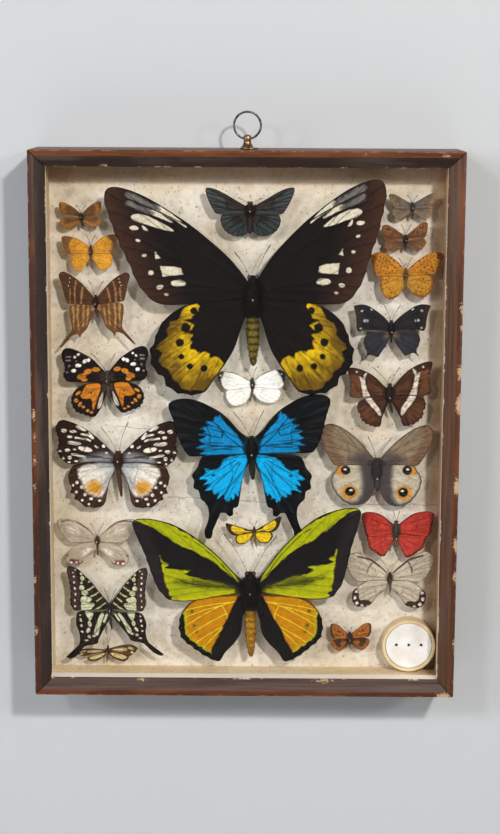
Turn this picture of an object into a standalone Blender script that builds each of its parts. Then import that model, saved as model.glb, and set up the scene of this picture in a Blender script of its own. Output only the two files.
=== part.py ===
"""Wall-hung insect case: a glazed, mitred timber box with pinned butterflies and one moth.

The case hangs on a wall. +X is to the viewer's right, +Z is up and +Y runs into the wall, so the
glass faces -Y. The origin is the middle of the back panel's rear face. Lengths are millimetres in
this file, and MM turns them into metres where a mesh is made.
"""

from dataclasses import dataclass

import math

import bmesh
import bpy
from mathutils import Vector

MM = 0.001

# Case, outside and in
CASE_WIDTH = 300.0
CASE_HEIGHT = 388.0
CASE_DEPTH = 57.0
GAP = 0.3  # clearance between pieces that touch
TIMBER = 9.0  # thickness of the four case sides
RIM = 4.0  # flat front edge of the moulding
LIP = 11.6  # the moulding's bevel ends this far in from the outside
BEVEL_DEPTH = 4.5
LIP_THICKNESS = 2.1
GLASS_THICKNESS = 2.0
BACK_PANEL = 4.0
BOARD_FRONT = -20.5  # y of the paper that the pins go into
LINING = 10.8  # inner face of the paper-covered lining strips, from the outside

# Hanger on the top edge
HANGER_X = 0.2
HANGER_Y = -CASE_DEPTH / 2
EYE_HEIGHT = 7.05  # eye centre above the case top
EYE_RADIUS = 1.4
RING_RADIUS = 9.35
WIRE_RADIUS = 0.75

# Fumigant cup in the lower right corner
CUP_X = 119.4
CUP_Z = -163.2
CUP_RADIUS = 19.4
CUP_HEIGHT = 13.0
CUP_WALL = 2.4
LID_RECESS = 0.9
LID_THICKNESS = 1.6
VENT_SPACING = 9.0
VENT_RADIUS = 0.95

# Pins and wings
PIN_RADIUS = 0.25
PIN_CLEARANCE = 0.25
PIN_DEPTH = 6.0  # into the board
PIN_RISE = 7.4  # top of the shaft above the wings
PIN_HEAD = 0.75
PIN_ROOM = 5.8  # least room in front of a shaft, to the glass
WING_THICKNESS = 0.4
DIHEDRAL = 0.05  # rise of a wing for each millimetre outwards
FLAT = math.radians(2.0)  # faces this close to one plane are joined after a union


@dataclass
class Wing:
    """Outline of the right wing, root to tip and back, and two of its points on the left wing."""

    outline: list
    left: tuple  # twice: index in the outline, and x and y of that point on the left


@dataclass
class Specimen:
    """A spread insect. Outlines start at its own centre, x outwards and y towards the head."""

    name: str
    at: tuple  # x and z of its centre in the case
    height: float  # wings above the board
    axis: float  # x of the body in the outlines
    body: tuple  # head, thorax start, thorax end, tail (all y), thorax and abdomen width, lean
    pin: float  # y of the pin
    feelers: tuple  # right and left tips
    fore: Wing
    hind: Wing
    colour: tuple


SPECIMENS = [
    Specimen("brown_skipper", (-116.8, 148.1), 9.0, 1.0, (1.4, 0.2, -3.6, -8.5, 2.4, 1.8, 1.0), -1.6,
             ((4.2, 7.0), (-2.6, 7.2)),
             Wing([(2, .5), (5, 4.5), (9, 7.5), (13, 9.3), (15, 8.5), (15, 5.5), (14, 2), (12.5, 0),
                   (2, -2)], ((4, 14.5, 8), (7, 12, .3))),
             Wing([(2, -2), (8, -1), (13, -1.5), (15, -3.5), (14, -7), (10.5, -9), (6, -8),
                   (3, -5)], ((3, 14, -4.2), (6, 5, -9))), (.30, .13, .05)),
    Specimen("orange_tip_white", (-110.0, 122.0), 10.0, .5, (5, 3.8, -2.6, -8, 2.6, 1.9, 1.0), .4,
             ((4.0, 12.0), (-2.5, 12.5)),
             Wing([(2, 3), (5, 7.5), (9, 10.5), (15, 12.5), (19, 12), (19.5, 8), (18.5, 3),
                   (16, -1), (8, -1), (2, -1)], ((4, 19.5, 10.6), (7, 15.5, -1.5))),
             Wing([(2, -1), (10, -1), (15.5, -2), (16, -6), (15, -10), (11, -12.5), (7.5, -13),
                   (4, -8), (2.5, -4)], ((3, 13.5, -6.5), (6, 6, -13.6))), (.80, .34, .02)),
    Specimen("tan_striped_daggerwing", (-106.6, 86.9), 12.0, .5,
             (5.2, 3.6, -4, -11.5, 3.4, 2.2, 1.5), -.8, ((6, 15), (-4.5, 15.5)),
             Wing([(2, 3), (6, 9), (11, 14.5), (16, 18.5), (21, 21), (24, 20.5), (24.8, 18),
                   (21.5, 4), (20, 1), (2, -2)], ((5, 24.6, 20.5), (8, 19, -1))),
             Wing([(2, -1.5), (12, -.5), (19, -1), (20.2, -5), (19, -17), (21, -20.5),
                   (28.5, -29.6), (26.5, -28.9), (19, -22), (15, -21.3), (13.5, -24), (12.5, -22),
                   (8, -18), (5, -12), (2.5, -5)], ((6, 25, -32.4), (2, 17.2, -2.5))), (.26, .08, .02)),
    Specimen("white_spotted_lady", (-100.5, 31.9), 11.0, 2.0, (6.2, 4.6, -4.6, -17, 4, 2.8, 2.0), -.5,
             ((8, 19), (-9.5, 19)),
             Wing([(4, 5), (7, 10), (11, 15), (17, 19.5), (23, 23), (28, 24), (31, 21.5),
                   (31.5, 17), (30, 12), (30, 8), (31, 5), (30, 2), (27, -.5), (16, -1.5),
                   (4, -2)], ((6, 30, 19.5), (12, 25, -2))),
             Wing([(4, -2), (14, -1.5), (22, -3.5), (26, -6.5), (28.5, -11), (28.3, -15), (27, -18),
                   (25, -20.5), (17, -23.5), (13, -24.5), (10, -22), (7, -18), (4, -9)],
                  ((4, 24.2, -14.5), (8, 12, -27))), (.10, .05, .03)),
    Specimen("great_crow_nymph", (-91.8, -26.3), 10.0, .5, (6, 4.6, -6, -28, 6.4, 3.6, 2.2), -.5,
             ((8, 27.5), (-11.5, 23.5)),
             Wing([(4, 3), (7, 8), (13, 14), (20, 20), (28, 25), (36, 28), (40, 28), (43, 25.5),
                   (44.5, 21), (43, 16), (42.5, 11), (43.5, 6), (42, 1.5), (40, -1), (36, -4),
                   (32, -4), (20, -2.5), (4, -3)], ((7, 43, 26), (14, 35.5, -3.2))),
             Wing([(4, -3), (20, -2), (31, -3.5), (35, -6), (37.2, -10), (37.7, -15), (36, -20),
                   (36, -25), (33, -26.5), (33, -30), (29, -31.5), (26.5, -34.5), (21, -35.6),
                   (14, -35.6), (10, -32), (6.5, -16), (3, -8)],
                  ((5, 35.5, -15), (13, 13, -35.6))), (.16, .07, .05)),
    Specimen("rose_glasswing", (-107.2, -86.5), 8.0, .3, (3.4, 2.4, -3.2, -11.5, 3, 1.5, .2), 0.0,
             ((5, 13), (-4.5, 13)),
             Wing([(1.5, 2), (9, 10), (14, 13.7), (20, 15.5), (26, 16), (28.8, 14), (28, 10),
                   (25.5, 4.5), (22, 1), (18, -1.5), (10, -1.7), (1.5, -1.5)],
                  ((5, 28.5, 14), (9, 18, -1.5))),
             Wing([(1.5, -1.5), (10, -2.2), (16, -4.6), (20.5, -8), (23, -11.5), (23, -15.5),
                   (20.5, -18.5), (15, -19), (11, -17.5), (4, -7)],
                  ((5, 23, -15), (7, 15, -18.5))), (.52, .46, .40)),
    Specimen("green_spotted_swordtail", (-99.4, -135.5), 12.0, 1.5,
             (2.8, 1.8, -5, -17.5, 3, 2.1, 1.2), -1.2, ((6, 14), (-2.5, 14)),
             Wing([(4, 3), (7, 9.5), (12, 17), (17, 23), (22, 28), (27, 30), (29, 28), (29, 24),
                   (28, 18), (27.5, 10), (28, 4), (27, 0), (25, -2.5), (21, -2.6), (3, -1.5)],
                  ((6, 29.4, 29), (12, 24, -2.2))),
             Wing([(3, -2), (12, -4), (20, -3.5), (25, -5), (27, -9), (28, -13), (27.4, -18),
                   (28.5, -24), (33, -31), (37, -33.6), (40.5, -34.6), (38, -36), (33, -33.6),
                   (27, -28), (24, -26.5), (17, -25), (8, -13), (3.5, -6)],
                  ((10, 30.5, -37), (3, 22, -4))), (.30, .34, .20)),
    Specimen("cream_striped_longwing", (-100.7, -170.7), 8.0, .6, (5, 3.4, -.6, -8, 2.2, 1.2, -1.0),
             1.6, ((2.8, 11.5), (0.2, 11.5)),
             Wing([(1.5, 2.6), (7, 4.6), (13, 6), (18, 6), (22, 4.2), (22, 2), (19, -1), (16, -2.5),
                   (5, .5), (1.5, .5)], ((4, 22, 1), (7, 16, -3))),
             Wing([(1.5, 1), (15.5, -2.4), (15.5, -5), (12.5, -6.8), (8, -6), (4, -4), (1.5, -1)],
                  ((1, 14, -4), (3, 10.5, -7))), (.62, .50, .26)),
    Specimen("golden_birdwing", (4.6, 96.4), 15.5, 0.0, (10.5, 7, -19, -54, 12, 9, .6), -6.5,
             ((12, 32), (-13, 27)),
             Wing([(3, 6), (8, 16), (15, 26), (36, 48), (60, 67), (70, 73), (80, 77), (87, 77.5),
                   (91, 74.5), (92.5, 68), (91, 57), (87.5, 41), (77.5, 8), (73, 0), (68, -6),
                   (61, -9), (50, -9.4), (3, -6)], ((7, 99, 71.5), (14, 70, -7.6))),
             Wing([(3, -4), (35, -7), (46, -10), (54, -14), (60, -19), (65, -25), (72, -43),
                   (70, -54), (67, -58), (63, -61), (61, -66), (54, -72), (42, -74.3), (33, -72),
                   (18, -51), (12, -40), (3, -12)], ((6, 73, -44), (12, 43, -75))), (.03, .02, .02)),
    Specimen("slate_day_moth", (2.3, 151.3), 10.0, 0.0, (6.6, 5, -4, -16, 6, 4.6, 0.0), 0.0,
             ((9, 9), (-8.5, 9.5)),
             Wing([(3, 3), (22, 14.5), (28, 16.5), (31, 16), (30.5, 12), (28, 6), (25, 1), (22, -2),
                   (13, -2), (3, -2)], ((3, 31, 15.6), (7, 23, -2))),
             Wing([(3, -1.5), (12, -2), (18, -1.5), (21.5, -5), (21, -10), (18, -14.5), (13, -17),
                   (8, -17.5), (4, -16), (1.5, -13), (1.5, -5)], ((4, 20, -10), (7, 7, -18))),
             (.05, .08, .09)),
    Specimen("brown_tipped_white", (4.3, 26.6), 5.5, .3, (6, 4.6, -2, -12, 3.2, 1.8, -1.8), 1.8,
             ((3.4, 14), (-4.8, 13)),
             Wing([(2, 4), (6, 8), (10, 10.5), (15, 11.7), (20, 12), (23.5, 10), (24, 6),
                   (22.5, 1.5), (20, -1.5), (11, -1.5), (2, -.5)], ((5, 25, 8.4), (8, 18, -2.6))),
             Wing([(2, 0), (12, -1.5), (19, -2), (20.5, -5), (19, -9), (15, -12), (10, -12),
                   (5, -10), (2, -5)], ((3, 18.5, -6), (6, 9, -14))), (.85, .85, .80)),
    Specimen("blue_swallowtail", (3.9, -23.1), 12.0, .5, (14.8, 12, -3, -17.5, 7.4, 4.6, .8), 2.0,
             ((9, 33.5), (-13, 32.5)),
             Wing([(4, 13.5), (14, 27), (20, 33.5), (27, 38.5), (34, 42.5), (41, 45), (48, 45.5),
                   (53, 44.5), (56, 42), (56, 38), (50, 14), (48, 9), (45, 4.5), (41, 3),
                   (3, 1.5)], ((8, 58.8, 37.5), (12, 45, 1))),
             Wing([(3, 2), (34, .6), (37.5, -3), (39.5, -8), (43.5, -13.5), (42.5, -18), (43, -23),
                   (39.5, -25.5), (38.5, -31), (35.5, -34), (33.5, -38), (33.3, -44), (35, -50),
                   (37, -55), (36, -60), (32.5, -60), (31, -55), (31.5, -47), (29, -42.5),
                   (22, -41.5), (19, -44), (16, -43), (15.5, -38.5), (12, -36.5), (7.5, -16),
                   (3, -3)], ((4, 42, -13.5), (12, 31.5, -50))), (.02, .10, .30)),
    Specimen("yellow_window_white", (4.9, -80.1), 7.0, 1.5, (4.2, 3, -2.2, -11.5, 2.4, 1.4, 1.8), .5,
             ((3.6, 8.5), (-2.4, 8)),
             Wing([(3, 1.5), (17, 10.5), (20.5, 12), (20.5, 8), (19, 4), (17, 1.5), (14, .2),
                   (7, 0), (2.5, -.5)], ((2, 19, 6.6), (5, 14, -2))),
             Wing([(2.5, 0), (8, 1), (13, .5), (15, -2), (14, -5.5), (11, -8), (7, -8), (4, -6),
                   (2.5, -2)], ((3, 12, -4), (5, 9, -9))), (.75, .55, .05)),
    Specimen("green_birdwing", (3.3, -119.6), 15.5, .5, (12.4, 9, -16, -52, 12, 8, .9), -3.0,
             ((19.5, 39.5), (-19, 41)),
             Wing([(6, 4), (10, 12), (20, 26), (30, 37.5), (40, 47), (50, 54), (58, 57.6),
                   (68, 60.4), (76, 60.5), (79.6, 57.5), (78.6, 51), (67, 5), (64, 0), (60, -5),
                   (52, -7.2), (42, -7.4), (6, -3)], ((8, 81, 51.5), (13, 58.5, -8))),
             Wing([(6, -5), (30, -5.5), (42, -8.6), (49, -15), (52.4, -21), (53.6, -28),
                   (52.6, -35), (50, -39), (37, -50), (29, -54.3), (25, -54), (21, -48), (14, -41),
                   (9, -33), (7, -22), (4, -12)], ((5, 51.4, -29), (9, 25, -54.6))),
             (.28, .36, .03)),
    Specimen("grey_hairstreak", (115.5, 154.6), 9.0, .2, (3.4, 2.4, -3.4, -7, 2.6, 1.9, .3), -.5,
             ((4, 8.5), (-3, 8.2)),
             Wing([(2, 2.5), (6, 5.5), (10, 8), (14, 9.7), (17, 9), (16.5, 5.5), (15, 2), (13, 0),
                   (8, -1), (2, -1)], ((4, 16.5, 8.2), (7, 11.4, -1))),
             Wing([(2, -1), (8, -1), (13, -.5), (14.5, -3), (13.5, -6.5), (10, -8.5), (6, -7.5),
                   (2.5, -4)], ((3, 14, -3.6), (5, 9, -8.6))), (.17, .14, .11)),
    Specimen("eyed_ringlet", (111.0, 134.3), 9.0, .4, (1.2, 0, -5.2, -8.8, 2.8, 2.1, .4), -2.6,
             ((4.4, 8.4), (-3, 8.2)),
             Wing([(2, .5), (5, 4), (12, 9.8), (15.5, 9.5), (16, 5.5), (15, 1), (13, -1.5),
                   (2, -2.5)], ((3, 16, 7.2), (6, 13.4, -3))),
             Wing([(2, -3), (8, -1.5), (13, -1.5), (15, -4.5), (13.5, -8), (10.5, -10.5), (7, -10),
                   (3, -6.5)], ((3, 14.5, -6), (5, 10.6, -11.2))), (.22, .10, .05)),
    Specimen("spotted_orange", (111.4, 107.1), 11.0, .5, (5, 3.6, -3.4, -10.5, 3, 2.2, -.4), 0.0,
             ((5, 13), (-5, 12.5)),
             Wing([(2, 3), (6, 8), (11, 12), (16, 15), (22, 16.5), (26, 15.5), (27, 13), (23, 3),
                   (21, 1), (2, -1)], ((5, 23.5, 14.6), (8, 20, -.5))),
             Wing([(2, -1), (12, .5), (18, -.5), (20, -3), (20, -8), (18.5, -12), (15, -15.5),
                   (11, -16), (6, -13.5), (2.5, -7)], ((4, 17.8, -8), (7, 9.5, -17.6))),
             (.62, .27, .04)),
    Specimen("dark_leafwing", (103.7, 68.2), 11.0, -1.3, (7, 5.6, -3.4, -9.5, 4, 1.8, .5), -.9,
             ((5, 18), (-6.5, 17.6)),
             Wing([(0, 4), (4, 9), (9, 13), (15, 17), (20, 18.5), (25, 18), (26, 17), (24.5, 12),
                   (23, 2), (21, -.5), (16, .6), (0, -1)], ((6, 28, 16.4), (9, 24, -1.2))),
             Wing([(0, -1), (10, -.5), (15.5, .5), (18, -2.5), (19.5, -6), (18.5, -11), (17, -14.6),
                   (18.6, -18), (17.6, -18.6), (15.6, -16.6), (12, -17.2), (9, -18.5), (3, -11),
                   (0, -5)], ((4, 21, -8), (11, 10.5, -19.5))), (.06, .05, .06)),
    Specimen("white_banded_brown", (102.4, 23.0), 11.0, -.3, (7.2, 5, -6, -14.5, 5, 2.2, 2.4), -2.6,
             ((6.5, 19), (-12.5, 18.6)),
             Wing([(2, 3), (5, 8), (9, 13), (14, 17.5), (20, 21), (26, 23), (29.5, 22.5),
                   (29.5, 19), (28, 13), (29, 2), (28, 0), (24, -1.5), (2, -2)],
                  ((6, 30.4, 17.6), (10, 28, -2.4))),
             Wing([(2, -2), (14, -1.2), (22, -2.5), (25, -5), (26, -9), (24.6, -13), (24, -17),
                   (20, -21), (16, -23), (11, -24), (8.6, -21), (7.5, -16), (5, -10), (2, -6)],
                  ((4, 23.5, -12), (9, 7.6, -24.6))), (.14, .06, .03)),
    Specimen("owl_eyed_saturn", (94.1, -30.1), 10.5, 0.0, (6.2, 4.4, -9, -19, 7, 4.6, .8), -8.0,
             ((10, 21), (-7, 22)),
             Wing([(2, 4), (6, 9.5), (12, 16.5), (18, 22), (25, 27), (32, 30), (36.5, 29.8),
                   (39, 27), (39.8, 22), (37.4, 15), (34.5, 9), (31.5, 4), (27.5, .5), (15, 1),
                   (2, .5)], ((7, 39.4, 27.6), (12, 29, .4))),
             Wing([(2, 1), (15, 2), (25, 1.4), (29, -3), (31.6, -7), (32.2, -12), (30.6, -17.5),
                   (28, -22), (24, -26.5), (19, -29), (14, -29.5), (9, -28), (5.5, -24.5), (3, -20),
                   (1.6, -12)], ((5, 33, -12), (9, 18.6, -28.2))), (.27, .18, .11)),
    Specimen("crimson_glider", (109.3, -78.4), 11.0, -.7, (8.6, 6.6, -4.4, -11.5, 4.6, 2.6, -.8), -3.4,
             ((1.8, 16), (-3.4, 16.5)),
             Wing([(1, 5), (6, 10), (11, 13.5), (17, 15.3), (23, 15.5), (26.5, 13.5), (26, 9),
                   (24, -1), (20, -2.8), (1, -1)], ((5, 26, 12.6), (7, 22.6, -2))),
             Wing([(1, -1), (10, -1), (21, -2), (20.5, -7), (19, -12), (11, -18), (7, -18.8),
                   (4.5, -15), (2.5, -6)], ((3, 20.8, -8), (6, 9, -18))),
             (.55, .05, .03)),
    Specimen("pied_glasswing", (104.3, -113.7), 10.0, .5, (5.2, 4, -2.8, -10.5, 3.4, 1.5, .6), .4,
             ((7, 16), (-6.5, 15.5)),
             Wing([(2, 3), (6, 8.5), (12, 14), (18, 18), (24, 21), (29, 20), (32, 16.5), (31, 10),
                   (28, 4), (24.5, 0), (20, -2), (12, -1), (2, -1)], ((5, 28, 19), (10, 20.4, -2))),
             Wing([(2, -1), (12, -.5), (19, -3), (24, -7), (27, -11), (26.5, -17), (23, -21),
                   (17, -21.5), (12, -19), (4, -7)], ((4, 26.5, -10), (7, 18, -21))),
             (.55, .47, .38)),
    Specimen("small_copper", (76.8, -158.1), 8.0, -.3, (4.2, 3, -3.2, -6.4, 3.2, 2.4, .3), -.5,
             ((1.4, 8.5), (-5, 8.6)),
             Wing([(1, 2.5), (8, 9), (12, 11), (15, 10), (15.5, 5), (14.5, 2), (13, .5), (1, -1)],
                  ((3, 14.4, 9), (6, 12, -1))),
             Wing([(1, -1), (7, -.4), (12, -.5), (14.5, -2.5), (13.5, -6), (11, -9), (8, -10),
                   (4, -8), (1.5, -4)], ((3, 14, -4.4), (6, 7, -10.6))), (.40, .15, .04)),
]


def clear_scene():
    """Remove whatever the opened file holds."""
    for item in list(bpy.data.objects):
        bpy.data.objects.remove(item, do_unlink=True)


def finish(name, colour, roughness, metallic=0.0):
    """Principled material of one colour."""
    material = bpy.data.materials.new(name)
    material.use_nodes = True
    shader = material.node_tree.nodes["Principled BSDF"]
    shader.inputs["Base Color"].default_value = (*colour, 1.0)
    shader.inputs["Roughness"].default_value = roughness
    shader.inputs["Metallic"].default_value = metallic
    return material


def mesh_object(name, points, faces, material=None, origin=(0.0, 0.0, 0.0)):
    """Object with the given millimetre points, its origin at `origin` and its faces outwards."""
    start = Vector(origin)
    mesh = bpy.data.meshes.new(name)
    mesh.from_pydata([(Vector(p) - start) * MM for p in points], [], faces)
    shape = bmesh.new()
    shape.from_mesh(mesh)
    bmesh.ops.recalc_face_normals(shape, faces=shape.faces)
    shape.to_mesh(mesh)
    shape.free()
    if material:
        mesh.materials.append(material)
    item = bpy.data.objects.new(name, mesh)
    item.location = start * MM
    bpy.context.scene.collection.objects.link(item)
    return item


def loft(rings, closed=False):
    """Points and faces of a skin over rings of equal size; a ring of one point is a pole."""
    points = [p for ring in rings for p in ring]
    starts = [sum(len(r) for r in rings[:i]) for i in range(len(rings))]
    faces = []
    pairs = list(zip(range(len(rings)), range(1, len(rings))))
    if closed:
        pairs.append((len(rings) - 1, 0))
    for a, b in pairs:
        count = max(len(rings[a]), len(rings[b]))
        for i in range(count):
            j = (i + 1) % count
            corners = [starts[a] + i % len(rings[a]), starts[a] + j % len(rings[a]),
                       starts[b] + j % len(rings[b]), starts[b] + i % len(rings[b])]
            face = [c for n, c in enumerate(corners) if c not in corners[:n]]
            faces.append(face)
    if not closed:
        for index in (0, len(rings) - 1):
            if len(rings[index]) > 1:
                faces.append([starts[index] + i for i in range(len(rings[index]))])
    return points, faces


def box(name, low, high, material=None):
    """Upright block between two corners."""
    rings = [[(low[0], y, low[2]), (high[0], y, low[2]), (high[0], y, high[2]), (low[0], y, high[2])]
             for y in (low[1], high[1])]
    return mesh_object(name, *loft(rings), material)


def circle(radius, sides, turn=0.0):
    """Corners of a regular polygon as pairs."""
    angles = [math.tau * (i + turn) / sides for i in range(sides)]
    return [(radius * math.cos(a), radius * math.sin(a)) for a in angles]


def turned(name, profile, centre, sides, axis, material=None):
    """Solid of revolution; profile pairs are radius and distance along the axis Y or Z."""
    rings = []
    for radius, along in profile:
        pairs = circle(radius, sides) if radius else [(0.0, 0.0)]
        if axis == "Y":
            rings.append([(centre[0] + u, along, centre[1] + v) for u, v in pairs])
        else:
            rings.append([(centre[0] + u, centre[1] + v, along) for u, v in pairs])
    return mesh_object(name, *loft(rings), material)


def combine(target, tools, operation):
    """Boolean of one object with others, which are used up."""
    for tool in tools:
        cut = target.modifiers.new(operation.title(), "BOOLEAN")
        cut.operation = operation
        cut.solver = "EXACT"
        cut.object = tool
    view = bpy.context.evaluated_depsgraph_get()
    mesh = bpy.data.meshes.new_from_object(target.evaluated_get(view))
    target.modifiers.clear()
    target.data = mesh
    for tool in tools:
        bpy.data.objects.remove(tool, do_unlink=True)
    return target


def timber_profile():
    """Section of a case side: inset from the outside, and y."""
    front = -CASE_DEPTH
    lip_back = front + BEVEL_DEPTH + LIP_THICKNESS
    return [(0.0, 0.0), (0.0, front), (RIM, front), (LIP, front + BEVEL_DEPTH), (LIP, lip_back),
            (TIMBER, lip_back), (TIMBER, 0.0)]


def case_sides(material):
    """Four mitred sides, each with the moulding on its front edge."""
    half_w, half_h = CASE_WIDTH / 2, CASE_HEIGHT / 2
    mitre = GAP * 0.7
    for name, sign in (("side_left", -1), ("side_right", 1)):
        rings = [[(sign * (half_w - a), y, end * (half_h - a - mitre)) for a, y in timber_profile()]
                 for end in (-1, 1)]
        mesh_object(name, *loft(rings), material)
    for name, sign in (("side_bottom", -1), ("side_top", 1)):
        rings = [[(end * (half_w - a - mitre), y, sign * (half_h - a)) for a, y in timber_profile()]
                 for end in (-1, 1)]
        mesh_object(name, *loft(rings), material)


def sheet(name, y_front, y_back, material):
    """Panel that fills the case from side to side."""
    half_w = CASE_WIDTH / 2 - TIMBER - GAP
    half_h = CASE_HEIGHT / 2 - TIMBER - GAP
    return box(name, (-half_w, y_front, -half_h), (half_w, y_back, half_h), material)


def glass_back():
    """y of the rear face of the pane."""
    return -CASE_DEPTH + BEVEL_DEPTH + LIP_THICKNESS + GAP + GLASS_THICKNESS


def paper_lining(material):
    """Frame of lining strips between the glass and the board."""
    outer = TIMBER + GAP
    rings = []
    for y, inset in ((glass_back() + GAP, outer), (BOARD_FRONT - GAP, outer),
                     (BOARD_FRONT - GAP, LINING), (glass_back() + GAP, LINING)):
        w, h = CASE_WIDTH / 2 - inset, CASE_HEIGHT / 2 - inset
        rings.append([(-w, y, -h), (w, y, -h), (w, y, h), (-w, y, h)])
    return mesh_object("paper_lining", *loft(rings, closed=True), material)


def pin_place(specimen):
    """Case x and z of the pin."""
    return specimen.at[0] + specimen.axis, specimen.at[1] + specimen.pin


def pinning_board(material):
    """Soft board with a blind square hole for each pin."""
    board = sheet("pinning_board", BOARD_FRONT, -BACK_PANEL - GAP, material)
    r = PIN_RADIUS + PIN_CLEARANCE
    holes = []
    for specimen in SPECIMENS:
        x, z = pin_place(specimen)
        low = (x - r, BOARD_FRONT - 1, z - r)
        holes.append(box("hole", low, (x + r, BOARD_FRONT + PIN_DEPTH + GAP, z + r)))
    return combine(board, holes, "DIFFERENCE")


def hanger(base_metal, ring_metal):
    """Bell-shaped brass base on the top edge, with an eye, and the ring that swings in it."""
    top = CASE_HEIGHT / 2 + GAP
    centre = (HANGER_X, HANGER_Y)
    bell = [(0, 0), (5.0, 0), (4.7, 1.0), (3.1, 3.3), (2.6, 5.2), (2.7, 8.6), (1.7, 9.6), (0, 9.7)]
    base = turned("hanger_base", [(r, top + z) for r, z in bell], centre, 8, "Z", base_metal)
    flange = turned("flange", [(0, top), (6.6, top), (6.6, top + 0.8), (0, top + 1.1)],
                    (HANGER_X + 1.2, HANGER_Y), 10, "Z")
    combine(base, [flange], "UNION")
    eye_z = CASE_HEIGHT / 2 + EYE_HEIGHT
    pairs = circle(EYE_RADIUS, 6, 0.5)
    rings = [[(x, HANGER_Y + u, eye_z + v) for u, v in pairs] for x in (-9.0, 9.0)]
    combine(base, [mesh_object("eye", *loft(rings))], "DIFFERENCE")
    steps = 16
    rings = []
    for i in range(steps):
        a = math.tau * i / steps
        ring = []
        for u, v in circle(WIRE_RADIUS, 5):
            r = RING_RADIUS + u
            ring.append((HANGER_X + r * math.sin(a), HANGER_Y + v, eye_z + RING_RADIUS - r * math.cos(a)))
        rings.append(ring)
    mesh_object("hanger_ring", *loft(rings, closed=True), ring_metal, (HANGER_X, HANGER_Y, eye_z))


def fumigant_cup(cup_plastic, lid_plastic):
    """Round cup that stands on the board, and its vented lid."""
    back = BOARD_FRONT - GAP
    front = back - CUP_HEIGHT
    bore = CUP_RADIUS - CUP_WALL
    floor = back - 1.5
    profile = [(0, back), (CUP_RADIUS - 0.4, back), (CUP_RADIUS, front + 0.8), (CUP_RADIUS - 0.5, front),
               (bore, front), (bore, floor), (0, floor)]
    centre = (CUP_X, CUP_Z)
    turned("fumigant_cup", profile, centre, 16, "Y", cup_plastic)
    face = front + LID_RECESS
    radius = bore - GAP
    disc = [(0, face), (radius, face), (radius, face + LID_THICKNESS), (0, face + LID_THICKNESS)]
    lid = turned("cup_lid", disc, centre, 16, "Y", lid_plastic)
    vents = []
    for x in (-VENT_SPACING, 0.0, VENT_SPACING):
        pairs = circle(VENT_RADIUS, 4)
        rings = [[(CUP_X + x + u, y, CUP_Z + 0.6 + v) for u, v in pairs] for y in (face - 2, face + 4)]
        vents.append(mesh_object("vent", *loft(rings)))
    combine(lid, vents, "DIFFERENCE")


def matched(outline, left, axis):
    """Right outline from the body axis, and the left one as the linear map that meets two points."""
    right = [(x - axis, y) for x, y in outline]
    (i, ax, ay), (j, bx, by) = left
    ax, bx = ax + axis, bx + axis
    (px, py), (qx, qy) = right[i], right[j]
    det = px * qy - py * qx
    m00, m01 = (ax * qy - bx * py) / det, (bx * px - ax * qx) / det
    m10, m11 = (ay * qy - by * py) / det, (by * px - ay * qx) / det
    return right, [(m00 * x + m01 * y, m10 * x + m11 * y) for x, y in right]


def wing_plates(specimen):
    """Four thin plates; the fore wings lie over the hind wings and both rise outwards."""
    plates = []
    root = specimen.body[4] * 0.2
    level = BOARD_FRONT - specimen.height
    for wing, front in ((specimen.fore, -0.5), (specimen.hind, 0.0)):
        for sign, outline in zip((1, -1), matched(wing.outline, wing.left, specimen.axis)):
            outline = [(root, outline[0][1])] + outline[1:-1] + [(root, outline[-1][1])]
            rings = []
            for depth in (front, front + WING_THICKNESS):
                rings.append([(specimen.at[0] + specimen.axis + sign * x, level + depth - DIHEDRAL * x,
                               specimen.at[1] + y) for x, y in outline])
            plates.append(mesh_object("plate", *loft(rings)))
    return plates


def body_rings(specimen):
    """Head, thorax and abdomen as rings along the body."""
    head, start, end, tail, thorax, abdomen, lean = specimen.body
    level = BOARD_FRONT - specimen.height
    long = tail - end
    stations = [(head, 0.0), ((head + start) / 2, thorax * 0.26), ((start * 3 + end) / 4, thorax * 0.48),
                ((start + end * 4) / 5, thorax * 0.46), (end, abdomen * 0.4),
                (end + long * 0.55, abdomen * 0.5), (tail, 0.0)]
    rings = []
    for y, radius in stations:
        along = max(0.0, (end - y) / -long)
        x = specimen.at[0] + specimen.axis + lean * along
        depth = level + 0.12 * abdomen * along
        pairs = circle(radius, 5, 0.75) if radius else [(0.0, 0.0)]
        rings.append([(x + u, depth - 0.9 * v, specimen.at[1] + y) for u, v in pairs])
    return rings


def rod(start, end, stations):
    """Straight three-sided tube to a sharp end; stations are shares of its length and radii."""
    start, end = Vector(start), Vector(end)
    along = (end - start).normalized()
    across = along.cross(Vector((0.1, 1.0, 0.2))).normalized()
    over = along.cross(across)
    rings = []
    for share, radius in stations:
        point = start.lerp(end, share)
        rings.append([tuple(point + across * u + over * v) for u, v in circle(radius, 3)])
    rings.append([tuple(end)])
    return mesh_object("rod", *loft(rings))


def feelers(specimen):
    """Two clubbed antennae."""
    head, thorax = specimen.body[0], specimen.body[4]
    level = BOARD_FRONT - specimen.height
    rods = []
    for sign, tip in zip((1, -1), specimen.feelers):
        root = Vector((specimen.at[0] + specimen.axis + sign * thorax * 0.1, level - 0.1,
                       specimen.at[1] + head - thorax * 0.25))
        end = Vector((specimen.at[0] + tip[0], level - 1.2, specimen.at[1] + tip[1]))
        rods.append(rod(root, end, ((0.0, 0.16), (0.92, 0.36))))
    return rods


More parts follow.
